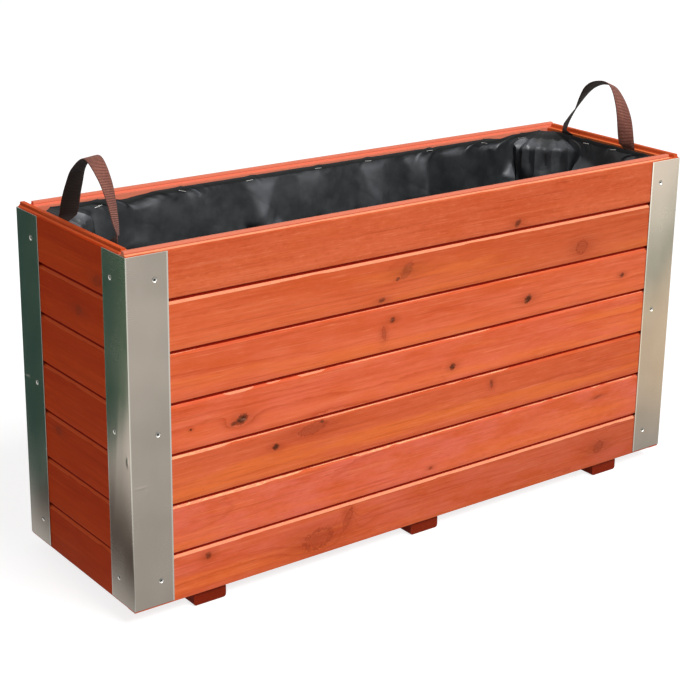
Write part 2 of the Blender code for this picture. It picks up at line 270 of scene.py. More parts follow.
def smooth(value):
    value = np.clip(value, 0, 1)
    return value * value * (3 - 2 * value)


def place(name, mesh, surface, body="root", replaced=(), smoothAngle=35.0):
    made = linked(name, mesh)
    mesh.materials.clear()
    mesh.materials.append(surface)
    mesh.shade_smooth()
    mesh.set_sharp_from_angle(angle=math.radians(smoothAngle))
    if body:
        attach(made, body)
    if replaced:
        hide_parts(*replaced)
    return made


def meshOf(name, bm, solid=True):
    # Plain mesh; the faces of a solid are turned outwards
    if solid:
        bmesh.ops.recalc_face_normals(bm, faces=bm.faces)
    mesh = bpy.data.meshes.new(name)
    bm.to_mesh(mesh)
    bm.free()
    return mesh


def loft(bm, rings):
    # Skin from ring to ring of points, with a cap at either end
    rings = [[bm.verts.new(point) for point in ring] for ring in rings]
    for lower, upper in zip(rings, rings[1:]):
        for k in range(len(lower)):
            ahead = (k + 1) % len(lower)
            bm.faces.new((lower[k], upper[k], upper[ahead], lower[ahead]))
    bm.faces.new(rings[0])
    bm.faces.new(rings[-1][::-1])


def setLayer(mesh, name, values, kind="FLOAT", field="value"):
    # Attribute of the points, for materials and makers
    layer = mesh.attributes.new(name, kind, "POINT")
    layer.data.foreach_set(field, np.asarray(values, dtype=np.float32).ravel())


def nodesLike(start):
    return sorted(name for name in frame["nodes"] if name.startswith(start))


def dress(node, surface):
    # A solid that shows as it is takes a material
    made = frame["nodes"][node]
    made.data.materials.clear()
    made.data.materials.append(surface)


# Room and light
studio = {
    "floorColour": (0.40, 0.40, 0.40),
    "floorGlow": 0.78,
    "floorSize": 30.0,
    "floorHeight": -0.0005,
    "ambient": 0.27,
    "keyPlace": Vector((1.8, -7.8, 8.8)),
    "keySize": 4.4,
    "keyPower": 1050.0,
    "fillPlace": Vector((-2.6, -2.2, 1.6)),
    "fillSize": 2.4,
    "fillPower": 2.0,
    "aim": Vector((0, 0, 0.25)),
}


def addGround(name, size, height):
    grid = bmesh.new()
    bmesh.ops.create_grid(grid, x_segments=1, y_segments=1, size=size)
    made = linked(name, meshOf(name, grid, solid=False))
    made.location.z = height
    return made


def seenDirectly(tree):
    # 1 for the camera and for what metal and glass show
    path = tree.tree.nodes.new("ShaderNodeLightPath")
    rays = [Flow(tree, path.outputs[ray]) for ray in ("Is Camera Ray", "Is Glossy Ray", "Is Transmission Ray")]
    return (rays[0] + rays[1] + rays[2]).math("MINIMUM", 1.0)


def addStudio(room):
    floor = addGround("floor", room["floorSize"], room["floorHeight"])
    paint = Surface("floorPaint", {"Base Color": (*room["floorColour"], 1.0), "Roughness": 0.9,
                                   "Emission Strength": room["floorGlow"]})
    glow = paint.mix(seenDirectly(paint), (0, 0, 0), (1, 1, 1))
    floor.data.materials.append(paint.finish(Emission_Color=glow))
    world = bpy.data.worlds.new("studio")
    world.use_nodes = True
    scene.world = world
    sky = Tree(world.node_tree)
    strength = sky.rise(seenDirectly(sky), 0.0, 1.0, room["ambient"], 1.0)
    background = world.node_tree.nodes["Background"]
    background.inputs["Color"].default_value = (1.0, 1.0, 1.0, 1.0)
    world.node_tree.links.new(strength.socket, background.inputs["Strength"])
    for name in ("key", "fill"):
        lamp = bpy.data.lights.new(name, "AREA")
        lamp.energy = room[f"{name}Power"]
        lamp.size = room[f"{name}Size"]
        made = linked(name, lamp)
        made.location = room[f"{name}Place"]
        made.rotation_euler = (room["aim"] - made.location).to_track_quat("-Z", "Y").to_euler()
    scene.view_settings.view_transform = "Standard"


# A glowing card on the floor that only reflections see, as painted reflections: lawn behind the left end, paving
# before the front
card = {
    "lawn": (0.040, 0.192, 0.082),
    "hedge": (0.050, 0.125, 0.105),
    "paving": (0.95, 0.97, 0.96),
    "joint": (0.72, 0.73, 0.73),
    # Painted shade: the ground close to the left end, as the box's shadow leaves it
    "nearLeft": (0.045, 0.022, 0.010),
    "farLeft": (1.46, 1.45, 1.41),
    "bright": (2.16, 2.12, 1.98),
    "cool": (0.04, 0.36, 0.38),
    "low": (1.46, 1.27, 0.99),
    "warm": (1.40, 1.22, 0.98),
    # Line between the ground by the left end and the lawn: a point and the slope
    "edgePoint": (-0.70, 0.362),
    "edgeSlope": -0.433,
    "size": 6.0,
    "height": -0.0003,
    # Joints of the paving, and bands before the right end: where each begins and ends, going away
    "joints": ((0.56, -0.14), (0.455, -0.22)),
    "bands": (("low", 0.12, 0.40), ("warm", 0.52, 0.68), ("cool", 0.80, 0.90), ("bright", 1.06, 1.20)),
}


def addCard(look):
    made = addGround("card", look["size"], look["height"])
    for kind in ("camera", "diffuse", "shadow", "transmission", "volume_scatter"):
        setattr(made, f"visible_{kind}", False)
    paint = Surface("cardPaint", {"Base Color": (0, 0, 0, 1), "Specular IOR Level": 0.0, "Emission Strength": 1.0})
    x, y, _ = paint.places()
    left = 1.0 - paint.rise(x, -0.62, -0.50)
    beyond = y - (x - look["edgePoint"][0]) * look["edgeSlope"] - look["edgePoint"][1]
    near = paint.mix(paint.rise(x * -1, 0.62, 0.90), look["nearLeft"], look["farLeft"])
    green = paint.mix(paint.rise(y + (x + 0.5) * 1.3232, -0.12, 0.12), look["lawn"], look["hedge"])
    near = paint.mix(paint.rise(beyond, -0.05, 0.05), near, green)
    reach = y * -1
    front = paint.mix(paint.rise(reach, 0.2, 0.95), shade(look["paving"], 0.84), shade(look["paving"], 1.08))
    ripple = paint.noise(x * 1.3, y * 2.6, 0.0)
    front = paint.mix(paint.rise(ripple, 0.3, 0.7) * 0.25, front, shade(look["paving"], 0.7))
    for middle, start in look["joints"]:
        off = (reach - (x - start) * 0.4 - middle).math("ABSOLUTE")
        front = paint.mix(paint.rise(off, 0.0, 0.035, 0.45, 0.0), front, look["joint"])
    side = paint.rise(x + y * 0.35, 0.30, 0.75)
    for name, first, last in look["bands"]:
        front = paint.mix(side * paint.rise(reach, first, last), front, look[name])
    glow = paint.mix(left * paint.rise(y, -0.5, -0.1), front, near)
    made.data.materials.append(paint.finish(Emission_Color=glow))


addStudio(studio)
addCard(card)
print("studio ready")


# Boards of the walls: sizes of the section, its wear, and the look of each board
board = {
    "rows": 7,
    "pitch": 0.0715,
    "thickness": 0.019,
    "face": 0.0635,
    "bevel": 0.0043,
    "tongue": 0.007,
    "tongueHeight": 0.0125,
    "rimTongueHeight": 0.0075,
    "backShoulder": 0.0015,
    "play": 0.0003,
    "grooveRoom": 0.0008,
    "lip": 0.001,
    "ease": 0.0007,
    "step": 0.003,
    "torn": (0.00025, 0.00025, 0.0005, 0.0007, 0.0006, 0.0006, 0.00025),
}


def arc(centre, radius, first, last, steps):
    angles = [math.radians(first + (last - first) * k / steps) for k in range(steps + 1)]
    return [(centre[0] + radius * math.cos(a), centre[1] + radius * math.sin(a)) for a in angles]


def boardSection(b, row):
    # Depth from the outer face, height from the lower edge, and how torn the edge may be
    face, bevel, ease = b["face"], b["bevel"], b["ease"]
    tongueBack = bevel + b["tongue"]
    tongueTop = face + (b["rimTongueHeight"] if row == 1 else b["tongueHeight"])
    points = [(0.0, face - 0.012, 0.0), (0.0, face - 0.003, 0.4), (0.0, face, 1.0)]
    for k in (1, 2, 3):
        points.append((bevel * k / 4, face + bevel * k / 4, 0.9 - 0.25 * k))
    points.append((bevel, face + bevel, 0.0))
    points += [(x, y, 0.0) for x, y in arc((bevel + ease, tongueTop - ease), ease, 180, 90, 2)]
    points += [(x, y, 0.0) for x, y in arc((tongueBack - ease, tongueTop - ease), ease, 90, 0, 2)]
    points += [(tongueBack, face + b["backShoulder"], 0.0), (b["thickness"], face + b["backShoulder"], 0.0)]
    if row < b["rows"]:
        below = face - b["pitch"]
        lipBack = below + b["backShoulder"] + b["play"]
        grooveTop = below + b["tongueHeight"] + b["grooveRoom"]
        points += [(b["thickness"], lipBack, 0.0), (tongueBack + b["play"], lipBack, 0.0),
                   (tongueBack + b["play"], grooveTop, 0.0), (bevel - b["play"], grooveTop, 0.0),
                   (bevel - b["play"], 0.0, 0.0)]
    else:
        points.append((b["thickness"], 0.0, 0.0))
    points += [(b["lip"], 0.0, 0.0), (b["lip"] * 0.3, b["lip"] * 0.3, 0.3), (0.0, b["lip"], 0.3)]
    points += [(0.0, 0.008, 0.0), (0.0, face / 2, 0.0)]
    return points


def sectionMesh(name, points):
    mesh = bpy.data.meshes.new(name)
    count = len(points)
    mesh.from_pydata([(x, y, 0.0) for x, y, _ in points], [(i, (i + 1) % count) for i in range(count)], [])
    setLayer(mesh, "wear", [wear for _, _, wear in points])
    return mesh


def boardMaker():
    # Sweeps a section along a line, then roughens the edges that carry wear
    maker = Maker("boardMaker", {"Length": float, "Count": int, "Torn": float, "Seed": float,
                                 "Material": "material"})
    profile = maker.add("GeometryNodeMeshToCurve", None, {"Mesh": maker.input("Geometry")})
    line = maker.add("GeometryNodeCurvePrimitiveLine", None,
                     {"End": maker.vector(0.0, 0.0, maker.input("Length"))})
    line = maker.add("GeometryNodeResampleCurve", None, {"Curve": line, "Count": maker.input("Count")})
    body = maker.add("GeometryNodeCurveToMesh", None,
                     {"Curve": line, "Profile Curve": profile, "Fill Caps": True})
    wear = maker.add("GeometryNodeInputNamedAttribute", {"data_type": "FLOAT"}, {"Name": "wear"})
    x, y, z = maker.parts(maker.add("GeometryNodeInputPosition"))
    shifted = z + maker.input("Seed")
    long = maker.noise(x * 60, y * 60, shifted * 9, 3.0, 0.6) - 0.5
    short = maker.noise(x * 300, y * 300, shifted * 60, 2.0, 0.6) - 0.5
    amount = (long * 2.2 + short * 1.1) * maker.input("Torn") * wear
    offset = maker.vector(short * wear * maker.input("Torn") * 0.5, amount, 0.0)
    moved = maker.add("GeometryNodeSetPosition", None, {"Geometry": body, "Offset": offset})
    maker.close(moved)
    return maker


makeBoard = boardMaker()


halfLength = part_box("front_board_1")[0].x * -1
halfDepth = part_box("left_end_board_1")[1].y
# Walls: nodes, turn about Z in degrees, corner where each starts, and the axis and sense of the directions
# along it, into it and up it
walls = {
    "front": {"node": "front_board", "turn": 0, "corner": (-1, -1), "axes": ((0, 1), (1, 1), (2, 1))},
    "rightEnd": {"node": "right_end_board", "turn": 90, "corner": (1, -1), "axes": ((1, 1), (0, -1), (2, 1))},
    "back": {"node": "back_board", "turn": 180, "corner": (1, 1), "axes": ((0, -1), (1, -1), (2, 1))},
    "leftEnd": {"node": "left_end_board", "turn": 270, "corner": (-1, 1), "axes": ((1, -1), (0, 1), (2, 1))},
}

stain = {
    "light": (0.86, 0.172, 0.060),
    "middle": (0.73, 0.112, 0.029),
    "pink": (0.84, 0.166, 0.096),
    "orange": (0.92, 0.200, 0.040),
    "late": (0.54, 0.060, 0.014),
    "pale": (1.0, 0.30, 0.145),
    # Painted highlight on the bevel, together with bare wood: this paint and the next
    "edge": (1.0, 0.37, 0.20),
    "bareAndLit": (1.0, 0.60, 0.30),
    "rim": (0.93, 0.27, 0.165),
    "innerRim": (0.93, 0.27, 0.165),
    # Painted shade in the gap between boards, under the lip of the board above
    "gap": (0.34, 0.012, 0.001),
    "smear": (0.40, 0.050, 0.016),
    "knot": (0.075, 0.018, 0.006),
    "knotHeart": (0.26, 0.105, 0.060),
}
# Painted shade: the end walls are painted deeper and redder than the front, as the shaded end looks; their inner rim
# is painted lighter, as painted light
shadedEndStain = {
    "light": (0.75, 0.070, 0.007),
    "middle": (0.62, 0.047, 0.004),
    "pink": (0.70, 0.061, 0.008),
    "orange": (0.77, 0.081, 0.008),
    "late": (0.50, 0.034, 0.003),
    "pale": (0.90, 0.12, 0.020),
    "edge": (0.92, 0.150, 0.042),
    "bareAndLit": (0.95, 0.20, 0.06),
    "rim": (0.80, 0.115, 0.026),
    # Painted light: the inner face of the rim, which is in shade, is painted lighter
    "innerRim": (1.0, 0.24, 0.075),
}

# Paints that a board's own tone lightens or darkens
toned = ("light", "middle", "pink", "orange", "late", "pale")

# Front wall, by board: how light, pink and mottled it is, how much painted shade darkens it towards the right,
# and how wide the bare wood and painted highlight show along its upper edge, as places along the board with widths
# from 0 to 1
frontRows = {
    1: {"tone": 0.96, "pinkShare": 0.12, "mottle": 1.3, "shadeRight": 0.05, "orangeShare": 0.1},
    2: {"tone": 1.06, "pinkShare": 0.05, "mottle": 0.4, "shadeRight": 0.20},
    3: {"tone": 1.07, "pinkShare": 0.25, "mottle": 0.3, "shadeRight": 0.05, "fringe": (
        (0.02, 0.35), (0.10, 0.22), (0.14, 0.12), (0.20, 0.16), (0.24, 0.25), (0.33, 0.22), (0.44, 0.32),
        (0.55, 0.22), (0.60, 0.12), (0.66, 0.30), (0.70, 0.14), (0.97, 0.20))},
    4: {"tone": 1.11, "pinkShare": 0.40, "mottle": 0.4, "shadeRight": 0.05, "fringe": (
        (0.02, 0.34), (0.10, 0.12), (0.142, 0.05), (0.150, 0.85), (0.186, 0.75), (0.193, 0.05), (0.210, 0.05),
        (0.216, 0.55), (0.232, 0.40), (0.238, 0.04), (0.262, 0.06), (0.27, 0.75), (0.303, 0.60), (0.312, 0.15),
        (0.345, 0.22), (0.36, 0.50), (0.45, 0.42), (0.52, 0.22), (0.545, 0.45), (0.60, 0.50), (0.62, 0.12),
        (0.80, 0.20), (0.97, 0.28))},
    5: {"tone": 0.99, "pinkShare": 0.20, "mottle": 0.5, "shadeRight": 0.06, "bareShare": 0.7, "fringe": (
        (0.02, 0.75), (0.10, 0.90), (0.138, 0.85), (0.155, 0.35), (0.21, 0.45), (0.27, 0.30), (0.32, 0.50),
        (0.44, 0.42), (0.53, 0.20), (0.545, 0.50), (0.565, 0.15), (0.61, 0.45), (0.64, 0.50), (0.66, 0.10),
        (0.97, 0.14))},
    6: {"tone": 1.06, "pinkShare": 0.75, "mottle": 0.8, "shadeRight": 0.06, "bareShare": 0.9, "fringe": (
        (0.02, 0.60), (0.07, 0.75), (0.12, 0.80), (0.20, 0.95), (0.224, 0.55), (0.236, 0.70), (0.265, 0.60),
        (0.275, 0.15), (0.30, 0.30), (0.345, 0.36), (0.360, 0.20), (0.372, 0.75), (0.425, 0.70), (0.435, 0.25),
        (0.445, 0.60), (0.55, 0.45), (0.645, 0.12), (0.655, 0.60), (0.672, 0.10), (0.728, 0.45), (0.75, 0.10),
        (0.76, 0.40), (0.835, 0.12), (0.845, 0.42), (0.86, 0.12), (0.915, 0.50), (0.935, 0.15), (0.97, 0.45))},
    7: {"tone": 1.06, "pinkShare": 0.50, "mottle": 0.5, "shadeRight": 0.28, "lowLight": 0.0},
}

# Knots of the front wall: board, then place along it from the left, height in the board, half sizes,
# tilt in degrees and how dark the knot is
frontKnots = {
    1: [(0.659, 0.0085, 0.0060, 0.0045, 35, 0.7)],
    2: [(0.450, 0.0430, 0.0120, 0.0070, 50, 0.28), (0.434, 0.0330, 0.0035, 0.0022, 30, 0.7),
        (0.406, 0.0065, 0.0050, 0.0030, 10, 0.6), (0.795, 0.0210, 0.0105, 0.0090, 20, 0.05)],
    3: [(0.426, 0.0451, 0.0042, 0.0036, 20, 0.75), (0.411, 0.0275, 0.0030, 0.0090, 10, 0.10),
        (0.687, 0.0287, 0.0072, 0.0052, 35, 0.92), (0.888, 0.0319, 0.0042, 0.0032, 20, 0.8)],
    4: [(0.171, 0.0245, 0.0085, 0.0060, 25, 0.95), (0.158, 0.0212, 0.0055, 0.0028, 20, 0.7),
        (0.0905, 0.0280, 0.0015, 0.0015, 0, 1.0), (0.541, 0.0220, 0.0050, 0.0045, 20, 0.88)],
    5: [(0.226, 0.0427, 0.0050, 0.0042, 10, 0.92), (0.288, 0.0550, 0.0200, 0.0070, 8, 0.10),
        (0.304, 0.0615, 0.0030, 0.0022, -40, 0.7), (0.620, 0.0500, 0.0026, 0.0062, 8, 0.5)],
    6: [(0.851, 0.0486, 0.0075, 0.0022, 15, 0.25), (0.505, 0.0120, 0.0030, 0.0022, 10, 0.4)],
    7: [(0.115, 0.0525, 0.0045, 0.0045, 0, 0.60), (0.859, 0.0311, 0.0100, 0.0075, 40, 0.12),
        (0.352, 0.0430, 0.0045, 0.0150, -25, 0.0), (0.300, 0.0250, 0.0220, 0.0130, 10, 0.02)],
}


def knotMasks(w, along, height, knots, seed):
    # Dark heart, ring line round it and brown smear of all knots, and how far they push the rings aside
    hearts, lines, smears, bend = [], [], [], 0.0
    rough = w.noise(along * 230, height * 230, seed, 3.0, 0.6) - 0.5
    streaks = w.noise(along * 60, height * 420, seed + 2.0, 2.0, 0.6)
    for knotAlong, knotUp, sizeAlong, sizeUp, tilt, dark in knots:
        cosine, sine = math.cos(math.radians(tilt)), math.sin(math.radians(tilt))
        offAlong, offUp = along - knotAlong, height - knotUp
        u = (offAlong * cosine + offUp * sine) / sizeAlong
        v = (offUp * cosine - offAlong * sine) / sizeUp
        off = (u * u + v * v).math("SQRT") + rough * 1.5
        hearts.append(w.rise(off, 0.55, 1.40, dark, 0.0))
        line = w.rise(off, 0.78, 1.02) * w.rise(off, 1.02, 1.32, 0.65 if dark < 0.2 else 0.35, 0.0)
        coils = (off * 15.0 + rough * 9.0).math("SINE") * 0.5 + 0.5
        lines += [line, coils * w.rise(off, 0.7, 1.0, 0.30, 0.0)]
        smears.append(bell(offAlong / (sizeAlong * 3.0), offUp / (sizeUp * 1.8)))
        push = bell(offAlong / (sizeAlong * 3.4), offUp / (sizeUp * 2.2))
        bend = push * (0.9 * sizeUp if knotUp < 0.033 else -0.9 * sizeUp) + bend
    return most(hearts), most(lines), most(smears) * (0.45 + streaks), bend


def fringeWidth(w, along, look):
    # How much bare wood and painted highlight show along the upper edge
    if "fringe" in look:
        return w.add("ShaderNodeValToRGB", {"stops": look["fringe"]}, {"Fac": along})
    return w.rise(w.noise(along * 11, look["pithHeight"] * 90, 0.0, 3.0, 0.6), 0.30, 0.55, *look["even"])


def growthRings(w, look, far, height, depth, bend, seed):
    # Late wood of the yearly rings, round a pith line outside the board
    wander = w.noise(far * 1.4, seed * 5.3, 0.0)
    lift = w.noise(far * 1.9, seed * 2.9 + 9.0, 0.0)
    ringUp = height - look["pithHeight"] - (wander - 0.5) * look["wander"]
    ringIn = depth + look["pithDepth"] + (lift - 0.5) * look["wander"] * 0.7
    drift = w.noise(far * 6.0, height * 30.0, depth * 30.0, 4.0, 0.6) - 0.5
    radius = (ringUp * ringUp + ringIn * ringIn).math("SQRT") + drift * 0.0075 + bend
    rings = radius / look["ring"]
    stops = ((0.0, 0.35), (0.12, 0.0), (0.60, 0.10), (0.86, 0.55), (0.95, 1.0))
    late = w.add("ShaderNodeValToRGB", {"stops": stops}, {"Fac": rings.math("FRACT")})
    year = w.noise(rings.math("FLOOR") * 3.1, far * 0.9, seed, 1.0)
    patch = w.noise(far * 2.3, height * 24.0, seed + 7.0, 2.0, 0.6)
    return late * w.rise(year, 0.36, 0.66, 0.08, 1.0) * w.rise(patch, 0.36, 0.62, 0.15, 1.0)


def edgeWearAndLight(w, look, ground, along, far, height, depth):
    # Bare wood and painted highlight on the bevel along the upper edge of the face, and the rim or the painted shade
    # of the gap above it
    grit = w.noise(far * 95.0, height * 260.0, depth * 260.0, 3.0, 0.7)
    width = fringeWidth(w, along, look)
    bevelTop = board["face"] + look["bevelLight"]
    above = w.rise(height, bevelTop - 0.0002, bevelTop + 0.0003)
    outside = w.rise(depth, 0.0112, 0.0116, 1.0, 0.0)
    low = bevelTop - width * 0.0037 + (grit - 0.5) * look["fuzz"]
    shoulder = w.rise((height - low) / 0.0005, 0.0, 1.0) * (1.0 - above)
    shoulder = shoulder * w.rise(width + (grit - 0.5) * 0.5, 0.10, 0.26)
    bareAndLit = w.mix(w.rise(grit, 0.42, 0.58) * look["bareShare"], look["edge"], look["bareAndLit"])
    ground = w.mix(shoulder * outside * 0.9, ground, bareAndLit)
    # Painted shade: the tongue and the top of the bevel, under the lip of the board above, are painted dark
    if not look["rimmed"]:
        return w.mix(above * outside, ground, look["gap"])
    inner = w.rise(depth, 0.0102, 0.0112) * w.rise(height, board["face"] - 0.014, board["face"] - 0.008)
    ground = w.mix(above.math("MAXIMUM", inner) * 0.9, ground, w.mix(inner, look["rim"], look["innerRim"]))
    line = above * w.rise(height, bevelTop + 0.0006, bevelTop + 0.0012, 1.0, 0.0) * outside
    return w.mix(line * 0.7, ground, look["late"])


def woodSurface(name, look, axes, origin, knots, seed):
    # Solid timber: growth rings, knots, fibres and stain, with painted highlight and painted shade along the edges and
    # painted shade towards the right.
    # axes are the directions along the grain, into the board and up its face.
    w = Surface(name, {"Specular IOR Level": 0.05})
    places = w.places()
    along, depth, height = [(places[k] - origin[k]) * way for k, way in axes]
    far = along + seed * 3.7
    heart, knotLine, smear, bend = knotMasks(w, along, height, knots, seed) if knots else (None, None, None, 0.0)
    late = growthRings(w, look, far, height, depth, bend, seed)
    fibre, streak, blotch, mottle = (
        w.noise(far * length, height * fine, depth * fine, detail, roughness)
        for length, fine, detail, roughness in ((20.0, 520.0, 3.0, 0.65), (4.0, 170.0, 3.0, 0.65),
                                                (3.0, 15.0, 4.0, 0.6), (70.0, 190.0, 4.0, 0.7)))
    cloud = w.noise(far * 10.0, height * 30.0, seed + 4.0, 4.0, 0.65)
    warm = w.noise(far * 2.2, height * 26.0, seed + 11.0, 3.0, 0.6)
    lowEdge = w.rise(height, 0.004, 0.050, 1.0, 0.0)
    tone = w.rise(blotch * 0.6 + cloud * 0.4 + lowEdge * look["lowLight"], 0.36, 0.78)
    # Paints over one another: share of each, and its name
    paints = [
        (tone, "light"),
        (w.rise(cloud, 0.30, 0.70, 0.0, look["pinkShare"] * 1.4), "pink"),
        (w.rise(warm + lowEdge * 0.10, 0.54, 0.72, 0.0, look["orangeShare"]), "orange"),
        (late * look["grain"], "late"),
        (w.rise(streak, 0.52, 0.74, 0.0, 0.42), "late"),
        (w.rise(fibre, 0.54, 0.74, 0.0, 0.34), "late"),
        (w.rise(fibre, 0.26, 0.46, 0.40, 0.0), "pale"),
        (w.rise(streak, 0.28, 0.44, 0.30, 0.0), "pale"),
        (w.rise(mottle, 0.52, 0.74, 0.0, look["mottle"] * 0.30), "late"),
        (w.rise(mottle, 0.28, 0.46, look["mottle"] * 0.22, 0.0), "pale"),
    ]
    if knots:
        paints += [(smear * 0.50, "smear"), (knotLine, "smear")]
    ground = look["middle"]
    for share, paint in paints:
        ground = w.mix(share, ground, look[paint])
    if knots:
        spots = w.mix(w.rise(mottle, 0.50, 0.62), look["knot"], look["knotHeart"])
        ground = w.mix(heart, ground, spots)
    # Painted shade: each board darkens towards its right end
    ground = w.mix(along.math("MAXIMUM", 0.0) * look["shadeRight"], ground, (0.0, 0.0, 0.0), "MULTIPLY")
    if look["edged"]:
        ground = edgeWearAndLight(w, look, ground, along, far, height, depth)
    shine = w.rise(fibre * 0.5 + blotch * 0.5, 0.25, 0.75, 0.50, 0.66)
    relief = fibre * 0.30 + streak * 0.35 - late * 0.30 + mottle * 0.2
    if knots:
        relief = relief - heart * 0.6
    return w.finish(height=relief, bumpDistance=0.00025, bumpStrength=0.75, Base_Color=ground, Roughness=shine)


def boardLook(wall, row):
    random = np.random.default_rng(100 + row * 7 + len(wall))
    onEnd = wall in ("leftEnd", "rightEnd")
    calm = row in (2, 7) or onEnd
    look = {
        "tone": 1.0 + 0.08 * (random.random() - 0.5),
        "pinkShare": 0.35 * random.random(),
        "pithHeight": 0.033 + 0.09 * (random.random() - 0.5),
        "pithDepth": (0.022 + 0.05 * random.random()) * (1 if random.random() < 0.6 else -1.8),
        "wander": 0.045 + 0.03 * random.random(),
        "ring": 0.0034 + 0.0026 * random.random(),
        "grain": (0.40 + 0.25 * random.random()) * (0.6 if onEnd else 1.0),
        "lowLight": 0.10 + 0.16 * random.random(),
        "orangeShare": 0.45 + 0.3 * random.random(),
        "mottle": 0.4,
        "shadeRight": 0.0,
        "bareShare": 0.2,
        "even": (0.46, 0.62) if row == 1 else (0.70, 1.0) if calm else (0.10, 0.75),
        "fuzz": 0.0006 if row == 1 or calm else 0.0022,
        "bevelLight": 0.0036 if row == 1 else 0.0031,
        "edged": True,
        "rimmed": row == 1,
        **(frontRows[row] if wall == "front" else {}),
    }
    for name, paint in {**stain, **(shadedEndStain if onEnd else {})}.items():
        look[name] = tuple(min(1.0, c) for c in shade(paint, look["tone"] if name in toned else 1.0))
    return look


def sideKnots(wall, row):
    # Random knots for the walls that the photograph doesn't show close up
    random = np.random.default_rng(row * 31 + len(wall) * 5)
    length = 0.9 if wall == "back" else 0.26
    wanted = {"back": 2, "leftEnd": 1 if row in (1, 2, 5) else 0, "rightEnd": 1 if row % 2 else 0}[wall]
    made = []
    for k in range(wanted):
        size = 0.004 + 0.005 * random.random()
        dark = 0.10 if wall == "leftEnd" else 0.2 + 0.7 * random.random()
        made.append((0.08 + length * (k + random.random()) / wanted * 0.80, 0.012 + 0.04 * random.random(),
                     size, size * 0.7, 40 * random.random(), dark))
    return made


def makeWalls():
    # Each board is swept by itself, stood in its wall and given wood of its own
    sections = {row: sectionMesh(f"section{row}", boardSection(board, row)) for row in range(1, 8)}
    for wall, facts in walls.items():
        turn = math.radians(facts["turn"])
        for row in range(1, board["rows"] + 1):
            node = f"{facts['node']}_{row}"
            low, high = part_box(node)
            size = high - low
            length = size.x if facts["turn"] % 180 == 0 else size.y
            top = board["rimTongueHeight"] if row == 1 else board["tongueHeight"]
            foot = high.z - board["face"] - top
            corner = Vector((facts["corner"][0] * halfLength, facts["corner"][1] * halfDepth, foot))
            mesh = makeBoard.run(node + "Made", sections[row], {
                "Length": length, "Count": round(length / board["step"]), "Torn": board["torn"][row - 1],
                "Seed": row * 1.7 + facts["turn"]})
            # The sweep runs along Z with the section in X and Y; the wall wants it along X
            stand = Matrix(((0, 0, 1, 0), (1, 0, 0, 0), (0, 1, 0, 0), (0, 0, 0, 1)))
            mesh.transform(Matrix.Translation(corner) @ Matrix.Rotation(turn, 4, "Z") @ stand)
            knots = frontKnots[row] if wall == "front" else sideKnots(wall, row)
            surface = woodSurface(f"{wall}Wood{row}", boardLook(wall, row), facts["axes"], corner, knots,
                                  row + facts["turn"] / 13.0)
            place(f"{wall}Board{row}", mesh, surface, replaced=(node,), smoothAngle=28.0)
        print(wall, "boards ready")


makeWalls()


# Inner timber keeps its solid shape. Directions along the grain, into the face and up it
innerAxes = {
    "corner_post": ((2, 1), (0, 1), (1, 1)),
    "floor_board": ((0, 1), (2, 1), (1, 1)),
    "foot_batten": ((1, 1), (0, 1), (2, 1)),
}
innerTimber = {"ring": 0.0026, "edged": False, "dark": 0.7, "footDark": 0.30}
footStain = {
    "light": (0.225, 0.015, 0.003),
    "pink": (0.26, 0.024, 0.006),
    "pale": (0.30, 0.036, 0.010),
    "pinkShare": 0.7,
    "mottle": 1.4,
}


def makeInnerTimber():
    for kind, axes in innerAxes.items():
        isFoot = kind == "foot_batten"
        for k, node in enumerate(nodesLike(kind)):
            look = boardLook("leftEnd", 3)
            look.update(innerTimber)
            look.update({name: shade(look[name], look["footDark"] if isFoot else look["dark"]) for name in toned})
            look.update(footStain if isFoot else {})
            dress(node, woodSurface(f"{node}Wood", look, axes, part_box(node)[0], (), k * 2.3 + len(kind)))


makeInnerTimber()
print("inner timber ready")


# Corner steel and its screws
steel = {
    "colour": (0.385, 0.332, 0.284),
    "bright": (0.62, 0.60, 0.54),
    "dishHighlight": (0.92, 0.90, 0.86),
    "dishShade": (0.34, 0.33, 0.31),
    "roughness": 0.21,
    "edge": 0.0009,
    "leg": 0.060,
    "outside": 0.0013,
    "inside": 0.0003,
    "bend": 6,
    "wave": 0.10,
    # Each dent's place, width and height
    "dents": ((-0.5013, -0.1430, 0.2360, 0.0030, 0.0060), (-0.4870, -0.1513, 0.1995, 0.0080, 0.0016),
              (-0.4780, -0.1513, 0.1900, 0.0016, 0.0070), (-0.5013, 0.1380, 0.2700, 0.0100, 0.0014)),
    "dish": 0.0038,
    "dishFoot": 0.0027,
    "dishDepth": 0.0008,
    "dishSides": 28,
}
screw = {
    "radius": 0.0026,
    "sunk": 0.00045,
    "recess": 0.0021,
    "waist": 0.00105,
    "recessDepth": 0.0003,
    "sides": 24,
    "inset": 0.040,
    "endMargin": 0.035,
}


